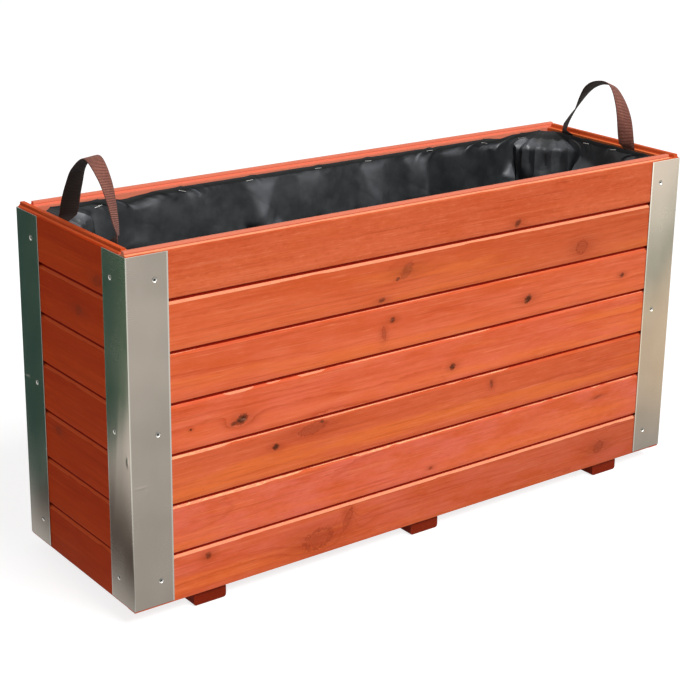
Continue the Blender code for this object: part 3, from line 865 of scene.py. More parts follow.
def steelSurface(look, bottom, top):
    m = Surface("cornerSteel", {"Metallic": 1.0})
    x, y, z = m.places()
    brush = m.noise(x * 35, y * 35, z * 900, 2.0, 0.6)
    smudge = m.noise(x * 9, y * 9, z * 5, 3.0, 0.55)
    band = m.noise(x * 3, y * 3, z * 14 + x * 4, 1.0)
    fromX = (x.math("ABSOLUTE") - (halfLength + look["outside"])).math("ABSOLUTE")
    fromY = (y.math("ABSOLUTE") - (halfDepth + look["outside"])).math("ABSOLUTE")
    bend = fromX + fromY
    far = fromX.math("MAXIMUM", fromY)
    # Painted highlight along the bend, the outer edges and the top of the sheet
    outer = m.rise(far, look["leg"] - look["edge"] * 1.4, look["leg"] - look["edge"] * 0.8)
    rim = (1.0 - m.rise(bend, look["edge"] * 0.8, look["edge"] * 1.8)).math("MAXIMUM", outer)
    rim = rim.math("MAXIMUM", m.rise(z, top - look["edge"], top - look["edge"] * 0.5))
    tone = m.rise(smudge * 0.6 + band * 0.4, 0.3, 0.7)
    ground = m.mix(tone, shade(look["colour"], 0.88), shade(look["colour"], 1.08))
    ground = m.mix(rim * 0.75, ground, look["bright"])
    # The dishes of the screws are painted light below and dark above, as painted highlight and painted shade
    aside = far - screw["inset"] - look["outside"]
    for height in screwHeights(bottom, top):
        off = (aside * aside + (z - height) ** 2.0).math("SQRT")
        dishLight = m.mix(m.rise(z, height - 0.0013, height + 0.0007), look["dishHighlight"], look["dishShade"])
        ground = m.mix(1.0 - m.rise(off, look["dish"] - 0.0006, look["dish"]), ground, dishLight)
    rough = m.rise(smudge, 0.3, 0.7, look["roughness"] - 0.03, look["roughness"] + 0.05) + brush * 0.03
    dents = sum(bell((x - dx) / wide, (y - dy) / wide, (z - dz) / tall) for dx, dy, dz, wide, tall in look["dents"])
    relief = dents + brush * 0.012 + (smudge - 0.5) * look["wave"]
    return m.finish(height=relief, bumpDistance=0.0006, bumpStrength=1.0, Base_Color=ground, Roughness=rough)


def scatterMaker():
    # Sets a small shape on every point of a mesh, turned by the point's own turn
    maker = Maker("scatterMaker", {"Shape": "object", "Material": "material"})
    shape = maker.add("GeometryNodeObjectInfo", None, {"Object": maker.input("Shape")}, "Geometry")
    turn = maker.add("GeometryNodeInputNamedAttribute", {"data_type": "FLOAT_VECTOR"}, {"Name": "turn"})
    turn = maker.add("FunctionNodeEulerToRotation", None, {"Euler": turn})
    maker.close(maker.add("GeometryNodeInstanceOnPoints", None,
                          {"Points": maker.input("Geometry"), "Instance": shape, "Rotation": turn}))
    return maker


makeScatter = scatterMaker()


def scatter(name, shape, matrices, surface):
    points = bpy.data.meshes.new(name + "Points")
    points.from_pydata([m.translation for m in matrices], [], [])
    setLayer(points, "turn", [m.to_euler() for m in matrices], "FLOAT_VECTOR", "vector")
    holder = linked(name + "Shape", shape)
    mesh = makeScatter.run(name, points, {"Shape": holder, "Material": surface})
    bpy.data.objects.remove(holder)
    place(name, mesh, surface)


def screwHead(look):
    # Flat head with a cross recess, facing +Z
    full, recess, waist = look["radius"], look["recess"], look["waist"]
    turns = [math.tau * k / look["sides"] for k in range(look["sides"])]
    rings = []
    for outer, inner, height in ((recess * 0.45, waist * 0.6, -look["recessDepth"]), (recess, waist, 0.0),
                                 (full * 0.9, full * 0.9, -0.00002), (full, full, -0.00015),
                                 (full * 0.8, full * 0.8, -0.0005)):
        reach = [inner + (outer - inner) * (0.5 + 0.5 * math.cos(4 * turn)) ** 2 for turn in turns]
        rings.append([(r * math.cos(turn), r * math.sin(turn), height) for r, turn in zip(reach, turns)])
    bm = bmesh.new()
    loft(bm, rings)
    mesh = meshOf("screwHead", bm)
    # Painted shade: dark in the recess and darker towards it
    ends = [v.co.xy.length / recess for v in mesh.vertices]
    setLayer(mesh, "deep", [1.0 if e < 0.52 else 0.9 if e < 1.04 else 0.35 if v.co.z > -0.0001 else 0.0
                            for e, v in zip(ends, mesh.vertices)])
    return mesh


def angleShape(look, sx, sy, low, high):
    # Bent sheet: plan of its outside, round the bend, then back along its inside
    bend = [math.pi / 2 * k / look["bend"] for k in range(look["bend"] + 1)]
    nick = 0.00015
    out, inner, leg = look["outside"], look["inside"], look["leg"]
    plan = [(out - nick, -leg), (out, -leg + nick)] + [(out * math.cos(a), out * math.sin(a)) for a in bend]
    plan += [(-leg + nick, out), (-leg, out - nick), (-leg, inner)]
    plan += [(inner * math.cos(a), inner * math.sin(a)) for a in bend[::-1]] + [(inner, -leg)]

    def within(value, most):
        return min(value, most) if value > inner else value

    bm = bmesh.new()
    loft(bm, [[(sx * (halfLength + within(u, most)), sy * (halfDepth + within(v, most)), z) for u, v in plan]
              for z, most in ((low, out), (high - nick, out), (high, out - nick))])
    return meshOf("sheet", bm)


def dishCutter(bm, look, matrix):
    # Turned solid whose surface is the pressed dish round a screw, along +Z of the matrix
    profile = [(look["dish"] + 0.0004, 0.0003), (look["dish"], 0.0)]
    for share in (1 / 3, 2 / 3, 1):
        profile.append((look["dish"] + (look["dishFoot"] - look["dish"]) * share,
                        -look["dishDepth"] * math.sin(share * math.pi / 2)))
    turns = [math.tau * k / look["dishSides"] for k in range(look["dishSides"])]
    loft(bm, [[matrix @ Vector((radius * math.cos(turn), radius * math.sin(turn), height)) for turn in turns]
              for radius, height in profile])


def cut(mesh, tool):
    holders = [linked(m.name, m) for m in (mesh, tool)]
    step = holders[0].modifiers.new("cut", "BOOLEAN")
    step.operation = "DIFFERENCE"
    step.solver = "EXACT"
    step.object = holders[1]
    bpy.context.view_layer.update()
    made = bpy.data.meshes.new_from_object(holders[0].evaluated_get(bpy.context.evaluated_depsgraph_get()))
    for holder in holders:
        bpy.data.objects.remove(holder)
    return made


def screwHeights(bottom, top):
    margin = screw["endMargin"]
    return [bottom + margin + k * (top - bottom - 2 * margin) / 2 for k in range(3)]


def zincSurface():
    m = Surface("screwZinc", {"Metallic": 1.0, "Roughness": 0.28})
    x, y, z = m.places()
    paint = m.mix(m.noise(x * 900, y * 900, z * 900), (0.50, 0.48, 0.44), (0.72, 0.70, 0.66))
    # Painted shade in the recess, from the deep attribute
    return m.finish(Base_Color=m.mix(m.attribute("deep"), paint, (0.030, 0.028, 0.026)))


def makeSteel():
    low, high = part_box("corner_angle_front_left")
    surface, zinc = steelSurface(steel, low.z, high.z), zincSurface()
    random = np.random.default_rng(5)
    inset, out = screw["inset"], steel["outside"] - screw["sunk"]
    corners = {"front_left": (-1, -1), "front_right": (1, -1), "rear_right": (1, 1), "rear_left": (-1, 1)}
    places = []
    for corner, (sx, sy) in corners.items():
        dishes = bmesh.new()
        for height in screwHeights(low.z, high.z):
            for spot, facing in (((halfLength - inset, halfDepth + out), Vector((0, sy, 0))),
                                 ((halfLength + out, halfDepth - inset), Vector((sx, 0, 0)))):
                spot = Vector((sx * spot[0], sy * spot[1], height))
                turn = facing.to_track_quat("Z", "Y").to_matrix().to_4x4()
                spin = Matrix.Rotation(random.random() * math.tau, 4, "Z")
                places.append(Matrix.Translation(spot) @ turn @ spin)
                dishCutter(dishes, steel, Matrix.Translation(spot + facing * screw["sunk"]) @ turn)
        mesh = cut(angleShape(steel, sx, sy, low.z, high.z), meshOf("dishes", dishes))
        place(f"angle{corner.title().replace('_', '')}", mesh, surface,
              replaced=(f"corner_angle_{corner}",), smoothAngle=18.0)
    scatter("screwHeads", screwHead(screw), places, zinc)
    for node in nodesLike("foot_screw"):
        dress(node, zinc)


makeSteel()
print("steel ready")


# Webbing handles: one ribbed strap on each end wall, with its tails inside the wall
strap = {
    "width": 0.025,
    "thickness": 0.0015,
    "tail": 0.058,
    "pivotRise": 0.0035,
    "turnIn": 0.012,
    "rib": 0.0024,
    "ribDepth": 0.00022,
    "steps": 6,
    "loopSteps": 150,
    "tailSteps": 80,
    "tailPlay": 0.0003,
    "blendHalf": 0.003,
}
# How each handle stands: middle line of the strap from the foot of its first leg to that of the second, as
# place along the wall, height over the pivot and twist in degrees. The right one is turned half round, so
# its first leg is the rear one. A length at the start of the strap is painted in shade on both sides.
straps = {
    "left": {"turn": 0.0, "paintedShadeLength": 0.0, "path": (
        (-0.0826, 0.0, 32.0), (-0.0738, 0.0140, 46.0), (-0.0640, 0.0349, 54.5), (-0.0429, 0.0641, 72.0),
        (-0.0097, 0.0861, 93.6), (0.0261, 0.0664, 98.1), (0.0430, 0.0393, 84.7), (0.0525, 0.0169, 72.0),
        (0.0540, 0.0, 46.0))},
    "right": {"turn": math.pi, "paintedShadeLength": 0.115, "path": (
        (-0.0822, 0.0, 33.0), (-0.0680, 0.0200, 46.0), (-0.0524, 0.0396, 59.0), (-0.0349, 0.0648, 80.0),
        (-0.0204, 0.0803, 98.3), (-0.0011, 0.0891, 107.8), (0.0247, 0.0888, 112.6), (0.0439, 0.0694, 96.6),
        (0.0563, 0.0399, 68.9), (0.0600, 0.0, 30.4))},
}
# Half of the strap's section: place across in half widths, and height in half thicknesses
strapSection = ((-1.0, 0.0), (-0.985, 0.55), (-0.93, 0.92), (-0.62, 1.0), (-0.25, 1.0), (0.25, 1.0), (0.62, 1.0),
                (0.93, 0.92), (0.985, 0.55), (1.0, 0.0))


def strapPath(look, stand):
    # Middle line about the pivot, from the foot of the first tail to that of the second
    reach = look["width"] / 2
    knots = np.array(stand["path"])
    padded = np.vstack([2 * knots[0] - knots[1], knots, 2 * knots[-1] - knots[-2]])
    share = np.linspace(0, 1, look["loopSteps"], endpoint=False)[:, None]
    loop = [0.5 * (2 * b + (c - a) * share + (2 * a - 5 * b + 4 * c - d) * share ** 2
                   + (3 * b - a - 3 * c + d) * share ** 3)
            for a, b, c, d in zip(padded, padded[1:], padded[2:], padded[3:])]
    steps = look["tailSteps"]
    bottom = -look["tail"] - look["thickness"] / 2 - look["tailPlay"]
    down = bottom * np.arange(1, steps + 1) / steps
    tails = [np.column_stack([np.full(steps, y), down, twist * smooth(1 + down / look["turnIn"])])
             for y, _, twist in (knots[0], knots[-1])]
    line = np.vstack([tails[0][::-1], *loop, knots[-1:], tails[1]])
    line[:, 2] = np.radians(line[:, 2])
    across = reach * np.sin(line[:, 2])
    middle = np.column_stack([across, line[:, 0], line[:, 1]])
    tangent = np.gradient(np.column_stack([0 * across, line[:, 0], line[:, 1]]), axis=0)
    tangent /= np.linalg.norm(tangent, axis=1)[:, None]
    outwards = np.column_stack([0 * across, -tangent[:, 2], tangent[:, 1]])
    inwards = np.column_stack([np.ones(len(line)), 0 * across, 0 * across])
    face = inwards * np.cos(line[:, 2])[:, None] + outwards * np.sin(line[:, 2])[:, None]
    return np.column_stack([middle, tangent, face])


def resample(line, step):
    run = np.concatenate([[0], np.cumsum(np.linalg.norm(np.diff(line[:, :3], axis=0), axis=1))])
    count = int(run[-1] / step)
    at = np.linspace(0, run[-1], count + 1)
    return at, np.stack([np.interp(at, run, line[:, k]) for k in range(9)], axis=1)


def strapMesh(name, look, stand, origin):
    # Ribbed strip along the path, with its own length and width kept as attributes
    at, line = resample(strapPath(look, stand), look["rib"] / look["steps"])
    middle, tangent, face = line[:, :3], line[:, 3:6], line[:, 6:]
    tangent /= np.linalg.norm(tangent, axis=1)[:, None]
    across = np.cross(tangent, face)
    across /= np.linalg.norm(across, axis=1)[:, None]
    normal = np.cross(across, tangent)
    rib = 0.5 + 0.5 * np.cos(math.tau * at / look["rib"])
    half = look["thickness"] / 2 - look["ribDepth"] * (1 - rib)
    top = [(a, n, 1.0) for a, n in strapSection]
    loop = top + [(a, -n, 0.0) for a, n in strapSection[-2:0:-1]]
    verts = np.stack([middle + across * (a * look["width"] / 2) + normal * (n * half)[:, None] for a, n, _ in loop], 1)
    rows, columns = verts.shape[:2]
    matrix = np.array(Matrix.Rotation(stand["turn"], 3, "Z"))
    points = verts.reshape(-1, 3) @ matrix.T + np.array(origin)
    faces = [(r * columns + c, r * columns + (c + 1) % columns, (r + 1) * columns + (c + 1) % columns,
              (r + 1) * columns + c) for r in range(rows - 1) for c in range(columns)]
    faces += [tuple(range(columns))[::-1], tuple((rows - 1) * columns + c for c in range(columns))]
    mesh = bpy.data.meshes.new(name)
    mesh.from_pydata(points.tolist(), [], faces)
    setLayer(mesh, "along", np.repeat(at, columns))
    setLayer(mesh, "across", np.tile([a * look["width"] / 2 for a, _, _ in loop], rows))
    # Painted shade: along the start of the strap, both sides take the dark back colour
    unshaded = np.repeat(at > stand["paintedShadeLength"], columns)
    setLayer(mesh, "outside", np.tile([side for _, _, side in loop], rows) * unshaded)
    return mesh


def webbingSurface(look):
    m = Surface("webbing", {"Roughness": 0.8, "Specular IOR Level": 0.25, "Sheen Weight": 0.15})
    along, across, outside = (m.attribute(name) for name in ("along", "across", "outside"))
    turns = along / look["rib"]
    rib = (turns * math.tau).math("COSINE") * 0.5 + 0.5
    stitch = ((across / 0.0022 + (turns * 2.0).math("FLOOR") * 0.5) * math.tau).math("COSINE") * 0.5 + 0.5
    wear = m.noise(along * 500, across * 500, 0.0, 2.0, 0.6)
    slow = m.noise(along * 35, across * 60, 3.0)
    thread = m.rise(rib * 0.62 + stitch * 0.38 + (wear - 0.5) * 0.4, 0.46, 0.84)
    front = m.mix(thread, (0.085, 0.022, 0.015), (0.64, 0.255, 0.180))
    front = m.mix(m.rise(slow, 0.35, 0.65) * 0.35, front, (0.120, 0.034, 0.024))
    back = m.mix(thread, (0.0085, 0.0035, 0.0018), (0.034, 0.0150, 0.0085))
    selvedge = m.rise(across.math("ABSOLUTE"), look["width"] / 2 - 0.0012, look["width"] / 2 - 0.0006)
    ground = m.mix(outside, back, front)
    ground = m.mix(selvedge * 0.6, ground, (0.050, 0.014, 0.011))
    return m.finish(height=thread + wear * 0.3, bumpDistance=0.00012, bumpStrength=0.8, Base_Color=ground)


def makeStraps():
    surface = webbingSurface(strap)
    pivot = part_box("front_board_1")[1].z + strap["pivotRise"]
    for side, stand in straps.items():
        low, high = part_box(f"{side}_handle_front_tail")
        plane = (low.x + high.x) / 2
        mesh = strapMesh(f"{side}Strap", strap, stand, (plane, 0.0, pivot))
        made = place(f"{side}Strap", mesh, surface, body=None, smoothAngle=60.0, replaced=(
            f"{side}_handle_loop", f"{side}_handle_front_tail", f"{side}_handle_rear_tail"))
        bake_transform(made)


makeStraps()
print("straps ready")


# Woven liner: an open bag held by staples, let fall into folds
liner = {
    # Points along a long side, an end and a cut corner
    "long": 114,
    "end": 24,
    "cut": 10,
    "edgeCut": 0.018,
    "postCut": 0.0760,
    "fine": 0.008,
    "fineRows": 12,
    "coarseRows": 11,
    # Least and most length of the threads between two staples, as a share of their own
    "slack": (1.000, 1.004),
    "slackLow": 0.008,
    "slackDown": 0.006,
    "bending": 0.30,
    "weight": 2.0,
    "edgeRise": 0.0026,
    "edgeSag": 0.0012,
    "lowSag": 0.012,
    "edgeReach": 0.0007,
    "lowReach": 0.042,
    "reachDepth": 0.072,
    "pleat": 0.0120,
    "pleatDrop": 0.0065,
    "drag": 0.03,
    # On the coarse grid, then on the fine one: steps, rounds in each, and reach of the stiff pairs
    "stages": ((60, 12, 3), (16, 10, 6)),
    "thickness": 0.0005,
    "play": 0.0002,
    "lift": 0.0006,
    "postMargin": 0.0046,
    "postRise": 0.0036,
    "onPost": 0.012,
    "stapleReach": 0.014,
    "slackDepth": 0.16,
    "hem": 0.006,
    "foldUnit": 0.00085,
    "timeStep": 1 / 60,
    "fastest": 1.5,
    # Where the back edge sags between its staples: place along it, half width and depth
    "dips": ((-0.335, 0.045, 0.0065), (0.215, 0.018, 0.0045), (0.372, 0.03, 0.004)),
    "floorShares": (0.05, 0.13, 0.25, 0.4, 0.6, 0.8, 1.0),
    "floorSwell": 0.0035,
    "weld": 0.0004,
}
# Walls of the liner: axis along each, axis across it, and its side
linerWalls = {"front": (0, 1, -1), "back": (0, 1, 1), "leftEnd": (1, 0, -1), "rightEnd": (1, 0, 1)}
# Large folds along the back wall: place along it, depth below the edge, and how many units the cloth stands in
backFolds = (
    (-0.470, 0.030, 2), (-0.455, 0.070, 8), (-0.400, 0.018, 2), (-0.395, 0.045, 16), (-0.400, 0.075, 18),
    (-0.345, 0.022, 1.5), (-0.365, 0.040, 13), (-0.315, 0.052, 16), (-0.335, 0.074, 12), (-0.305, 0.014, 1),
    (-0.288, 0.034, 6), (-0.270, 0.062, 28), (-0.222, 0.066, 29), (-0.255, 0.010, 1), (-0.228, 0.040, 17),
    (-0.215, 0.010, 0.6), (-0.190, 0.030, 1.5), (-0.150, 0.062, 5), (-0.125, 0.085, 9), (-0.180, 0.085, 34),
    (-0.137, 0.012, 1.5), (-0.114, 0.061, 27), (-0.105, 0.082, 34), (-0.085, 0.016, 7), (-0.045, 0.014, 6),
    (-0.074, 0.062, 4), (-0.036, 0.058, 22), (-0.013, 0.007, 0.8), (-0.004, 0.067, 31), (0.018, 0.058, 25),
    (0.029, 0.006, 0.6), (0.040, 0.030, 2), (0.058, 0.063, 5), (0.072, 0.088, 10), (0.078, 0.010, 1),
    (0.094, 0.060, 26), (0.122, 0.034, 10), (0.130, 0.012, 1.5), (0.150, 0.066, 31), (0.179, 0.012, 1.5),
    (0.176, 0.045, 19), (0.204, 0.008, 1), (0.206, 0.035, 16), (0.208, 0.068, 32), (0.219, 0.035, 5),
    (0.223, 0.068, 10), (0.218, 0.008, 1), (0.245, 0.022, 9), (0.248, 0.064, 5), (0.286, 0.011, 1), (0.262, 0.045, 5),
    (0.283, 0.064, 8), (0.310, 0.034, 3), (0.335, 0.052, 5), (0.362, 0.070, 9), (0.318, 0.008, 0.8),
    (0.340, 0.036, 16), (0.356, 0.011, 1.5), (0.364, 0.032, 15), (0.380, 0.026, 3), (0.410, 0.008, 0.8),
    (0.394, 0.040, 6), (0.374, 0.058, 20), (0.398, 0.068, 28), (0.425, 0.030, 6),
)
# Staples: wall, place along it from the middle, and depth below the liner's edge
staples = (
    ("back", -0.386, 0.011), ("back", -0.248, 0.008), ("back", -0.131, 0.008), ("back", -0.004, 0.006),
    ("back", 0.093, 0.007), ("back", 0.218, 0.006), ("back", 0.336, 0.008), ("back", 0.418, 0.009),
    ("front", -0.405, 0.009), ("front", -0.290, 0.007), ("front", -0.160, 0.008), ("front", -0.035, 0.007),
    ("front", 0.085, 0.008), ("front", 0.205, 0.007), ("front", 0.315, 0.008), ("front", 0.410, 0.008),
    ("leftEnd", -0.095, 0.008), ("leftEnd", -0.030, 0.007), ("leftEnd", 0.032, 0.008), ("leftEnd", 0.095, 0.008),
    ("rightEnd", -0.095, 0.008), ("rightEnd", -0.028, 0.007), ("rightEnd", 0.034, 0.008), ("rightEnd", 0.098, 0.008),
)
# Ridges of a gathered corner: place across it, and how far they stand in
cornerPleats = (
    (0.0, 0.0), (0.11, 0.9), (0.20, 0.1), (0.36, 0.7), (0.45, 0.0), (0.60, 1.0), (0.70, 0.3), (0.80, 0.8),
    (0.88, 0.1), (0.95, 0.5), (1.0, 0.0),)


def bagRing(look, halfX, halfY, c):
    # Rectangle with its corners cut off by c, as evenly spaced points on each side
    corners = [(-halfX + c, -halfY), (halfX - c, -halfY), (halfX, -halfY + c), (halfX, halfY - c), (halfX - c, halfY),
               (-halfX + c, halfY), (-halfX, halfY - c), (-halfX, -halfY + c)]
    points = []
    for k, count in enumerate((look["long"], look["cut"], look["end"], look["cut"]) * 2):
        first, last = np.array(corners[k]), np.array(corners[(k + 1) % 8])
        points += [first + (last - first) * i / count for i in range(count)]
    return np.array(points)


def linerSpace(look):
    # Room for the cloth inside its solid, and the corner posts that it has to clear
    low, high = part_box("liner")
    postLow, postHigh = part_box("corner_post_rear_right")
    inset = look["thickness"] + look["play"]
    return {
        "low": Vector((low.x + inset, low.y + inset, low.z + look["lift"])),
        "high": Vector((high.x - inset, high.y - inset, high.z + look["edgeRise"])),
        "postIn": (postLow.x - look["postMargin"], postLow.y - look["postMargin"]),
        "postTop": postHigh.z + look["postRise"],
    }


def bagStart(look, space):
    # Flat bag: rings of points from the edge down, finer at the top, cut off at the corners
    high, floor = space["high"], space["low"].z
    edge = high.z
    fineLow = edge - look["fine"] * look["fineRows"]
    heights = [edge - look["fine"] * k for k in range(look["fineRows"])]
    heights += list(np.linspace(fineLow, floor, look["coarseRows"] + 1))
    rows = []
    for z in heights:
        deep = smooth((edge - z) / (edge - space["postTop"]))
        ring = bagRing(look, high.x, high.y, look["edgeCut"] + (look["postCut"] - look["edgeCut"]) * deep)
        rows.append(np.column_stack([ring, np.full(len(ring), z)]))
    return np.array(rows)


def finer(grid):
    # Twice as many points both ways, on smooth curves through the old ones
    before, after, second = (np.roll(grid, k, axis=1) for k in (1, -1, -2))
    middle = (9 * (grid + after) - before - second) / 16
    wide = np.stack([grid, middle], axis=2).reshape(grid.shape[0], -1, 3)
    padded = np.concatenate([2 * wide[:1] - wide[1:2], wide, 2 * wide[-1:] - wide[-2:-1]])
    middle = (9 * (padded[1:-2] + padded[2:-1]) - padded[:-3] - padded[3:]) / 16
    rows = np.empty((2 * wide.shape[0] - 1, *wide.shape[1:]))
    rows[::2], rows[1::2] = wide, middle
    return rows


def pairs(rows, columns, reach):
    # Index pairs of the threads, in groups where no point comes twice: each with its kind.
    # The stiff pairs span reach points and twice as many.
    index = np.arange(rows * columns).reshape(rows, columns)
    groups = []
    right = np.roll(index, -1, axis=1)
    for start in (0, 1):
        groups.append(("across", index[:, start::2], right[:, start::2]))
        groups.append(("down", index[start:-1:2], index[start + 1::2]))
        groups.append(("shear", index[start:-1:2], right[start + 1::2]))
        groups.append(("shear", right[start:-1:2], index[start + 1::2]))
    for span in (reach, reach * 2):
        ahead = np.roll(index, -span, axis=1)
        for half in (0, 1):
            keep = np.arange(columns) // span % 2 == half
            groups.append(("bend", index[:, keep], ahead[:, keep]))
            keep = np.arange(rows - span) // span % 2 == half
            groups.append(("bend", index[:-span][keep], index[span:][keep]))
    return [(kind, a.ravel(), b.ravel()) for kind, a, b in groups]


def facets(folds, u, depth):
    # Cloth stands in as flat facets between the places given
    spots, _, faces, origins, _, _ = delaunay_2d_cdt([Vector(fold[:2]) for fold in folds], [], [], 0, 1e-6)
    inward = [folds[origin[0]][2] for origin in origins]
    result = np.zeros(np.broadcast(u, depth).shape)
    for face in faces:
        (ax, ay), (bx, by), (cx, cy) = (spots[k] for k in face)
        size = (bx - ax) * (cy - ay) - (cx - ax) * (by - ay)
        if abs(size) < 1e-9:
            continue
        second = ((u - ax) * (cy - ay) - (cx - ax) * (depth - ay)) / size
        third = ((bx - ax) * (depth - ay) - (u - ax) * (by - ay)) / size
        inside = (second >= -1e-6) & (third >= -1e-6) & (second + third <= 1 + 1e-6)
        a, b, c = (inward[k] for k in face)
        result = np.where(inside, a + (b - a) * second + (c - a) * third, result)
    return result


def wallFolds(random, half, given=()):
    # The given folds, then others of no particular order below them
    folds = list(given)
    for k in np.linspace(-half, half, 13):
        folds += [(k, -0.001, 0.5), (k, 0.52, 0.0), (k, 0.47, 3.0)]
    low = 0.10 if given else 0.012
    for row, depth in enumerate((0.024, 0.058, 0.105, 0.165, 0.235, 0.315, 0.395)):
        if depth < low:
            continue
        step = 0.052 + 0.010 * row
        count = int(2 * half / step)
        for k in range(count + 1):
            u = -half + (k + 0.5 * (row % 2) + random.uniform(-0.3, 0.3)) * step
            tall = 8 if depth < 0.03 else 38
            folds.append((u, depth + random.uniform(-0.012, 0.012), tall * random.uniform(0.05, 1.0)))
    return folds


def foldIn(look, grid, space):
    # How far each point of the flat bag is moved by its folds
    high = space["high"]
    random = np.random.default_rng(23)
    counts = (look["long"], look["cut"], look["end"], look["cut"]) * 2
    segment = np.repeat(np.arange(8), counts)
    share = np.concatenate([np.arange(count) / count for count in counts])
    depth = high.z - grid[:, :, 2]
    inward, drop = np.zeros(grid.shape[:2]), np.zeros(grid.shape[:2])
    way = np.zeros((grid.shape[1], 2))
    for k, (dx, dy) in enumerate(((0, 1), (-1, 1), (-1, 0), (-1, -1), (0, -1), (1, -1), (1, 0), (1, 1))):
        chosen = segment == k
        way[chosen] = np.array((dx, dy)) / math.hypot(dx, dy)
        if k % 2:
            # Gathered corner: narrow pleats that fan out from the edge
            fan = share[chosen] + 0.05 * np.sin(depth[:, chosen] * 45 + k)
            pleats = np.interp(fan, *zip(*cornerPleats))
            tall = smooth((depth[:, chosen] - 0.003) / 0.016) * (1 - 0.7 * smooth((depth[:, chosen] - 0.03) / 0.10))
            inward[:, chosen] = look["pleat"] * pleats * tall + 0.0004
            shelf = smooth((depth[:, chosen] - 0.001) / 0.008) * (1 - smooth((depth[:, chosen] - 0.022) / 0.03))
            drop[:, chosen] = look["pleatDrop"] * (1 - pleats) * shelf
            continue
        folds = wallFolds(random, high[k % 4 // 2], backFolds if k == 4 else ())
        across = share[chosen] * (1 - share[chosen]) * counts[k]
        tall = facets(folds, grid[:, chosen, k % 4 // 2], depth[:, chosen]) * look["foldUnit"]
        inward[:, chosen] = tall * smooth(across / 2.2)
    return np.dstack([inward * way[:, 0], inward * way[:, 1], -drop])


def linkUp(look, shaped, grid, space, loose, reach):
    # Threads of the folded sheet with their own lengths, which leave it a little slack
    rows, columns = grid.shape[:2]
    depthShare = np.clip((space["high"].z - grid[:, :, 2].ravel()) / look["slackDepth"], 0, 1)
    across = loose[np.arange(len(shaped)) % columns] + look["slackLow"] * depthShare
    links = []
    for kind, a, b in pairs(rows, columns, reach):
        size = np.linalg.norm(shaped[b] - shaped[a], axis=1)
        slack, hard = {
            "across": (across[a], 1.0),
            "down": (1 + look["slackDown"], 1.0),
            "shear": (1 + (across[a] - 1) * 0.6, 0.3),
            "bend": (1.0, look["bending"]),
        }[kind]
        links.append((a, b, size * slack, hard, kind == "bend"))
    return links


def heldPoints(look, grid, space):
    # What is free to move, apart from the staples' columns and the foot, and the slack of each stretch
    # between two staples
    high = space["high"]
    columns = grid.shape[1]
    free = np.ones(grid.shape[:2])
    free[-1] = 0.0
    heldRows = 1 + int(round(look["stapleReach"] / (high.z - grid[1, 0, 2])))
    pinned = set()
    for wall, spot, _ in staples:
        axis, other, side = linerWalls[wall]
        gap = np.abs(grid[0, :, axis] - spot) + 10 * np.abs(grid[0, :, other] - side * high[other])
        pinned.add(int(gap.argmin()))
        free[:heldRows, int(gap.argmin())] = 0.0
    values = np.random.default_rng(11).uniform(*look["slack"], len(pinned) + 1)
    loose = values[np.searchsorted(sorted(pinned), np.arange(columns), side="right")]
    loose = np.convolve(np.concatenate([loose[-2:], loose, loose[:2]]), np.ones(5) / 5, "valid")
    return free.ravel(), loose


def clothLimits(look, flat, folded, space):
    # How low each point may sink, and how far from its wall it may stand
    high = space["high"]
    deep = smooth((high.z - flat[:, 2] - look["hem"]) / look["reachDepth"])
    dips = np.zeros(len(flat))
    for spot, half, sag in look["dips"]:
        near = smooth(1 - np.abs(flat[:, 0] - spot) / half) * (flat[:, 1] > high.y - 0.03)
        dips = np.maximum(dips, sag * near)
    sag = look["edgeSag"] + dips + (look["lowSag"] - look["edgeSag"]) * deep
    lowest = np.maximum(np.minimum(flat[:, 2], folded[:, 2]) - sag, space["low"].z)
    return lowest, look["edgeReach"] + (look["lowReach"] - look["edgeReach"]) * deep


def keepInside(look, cloth, space, lowest):
    low, high = space["low"], space["high"]
    for axis in (0, 1):
        cloth[:, axis] = np.clip(cloth[:, axis], low[axis], high[axis])
    cloth[:, 2] = np.clip(cloth[:, 2], lowest, high.z)
    # Cloth that got into a post is laid on its top or beside it, whichever is nearer
    inX, inY = (np.abs(cloth[:, axis]) - space["postIn"][axis] for axis in (0, 1))
    hit = (inX > 0) & (inY > 0) & (cloth[:, 2] < space["postTop"])
    onTop = hit & (space["postTop"] - cloth[:, 2] < np.minimum(np.minimum(inX, inY), look["onPost"]))
    cloth[onTop, 2] = space["postTop"]
    byX = hit & ~onTop & (inX < inY)
    byY = hit & ~onTop & ~byX
    cloth[byX, 0] -= np.sign(cloth[byX, 0]) * inX[byX]
    cloth[byY, 1] -= np.sign(cloth[byY, 1]) * inY[byY]


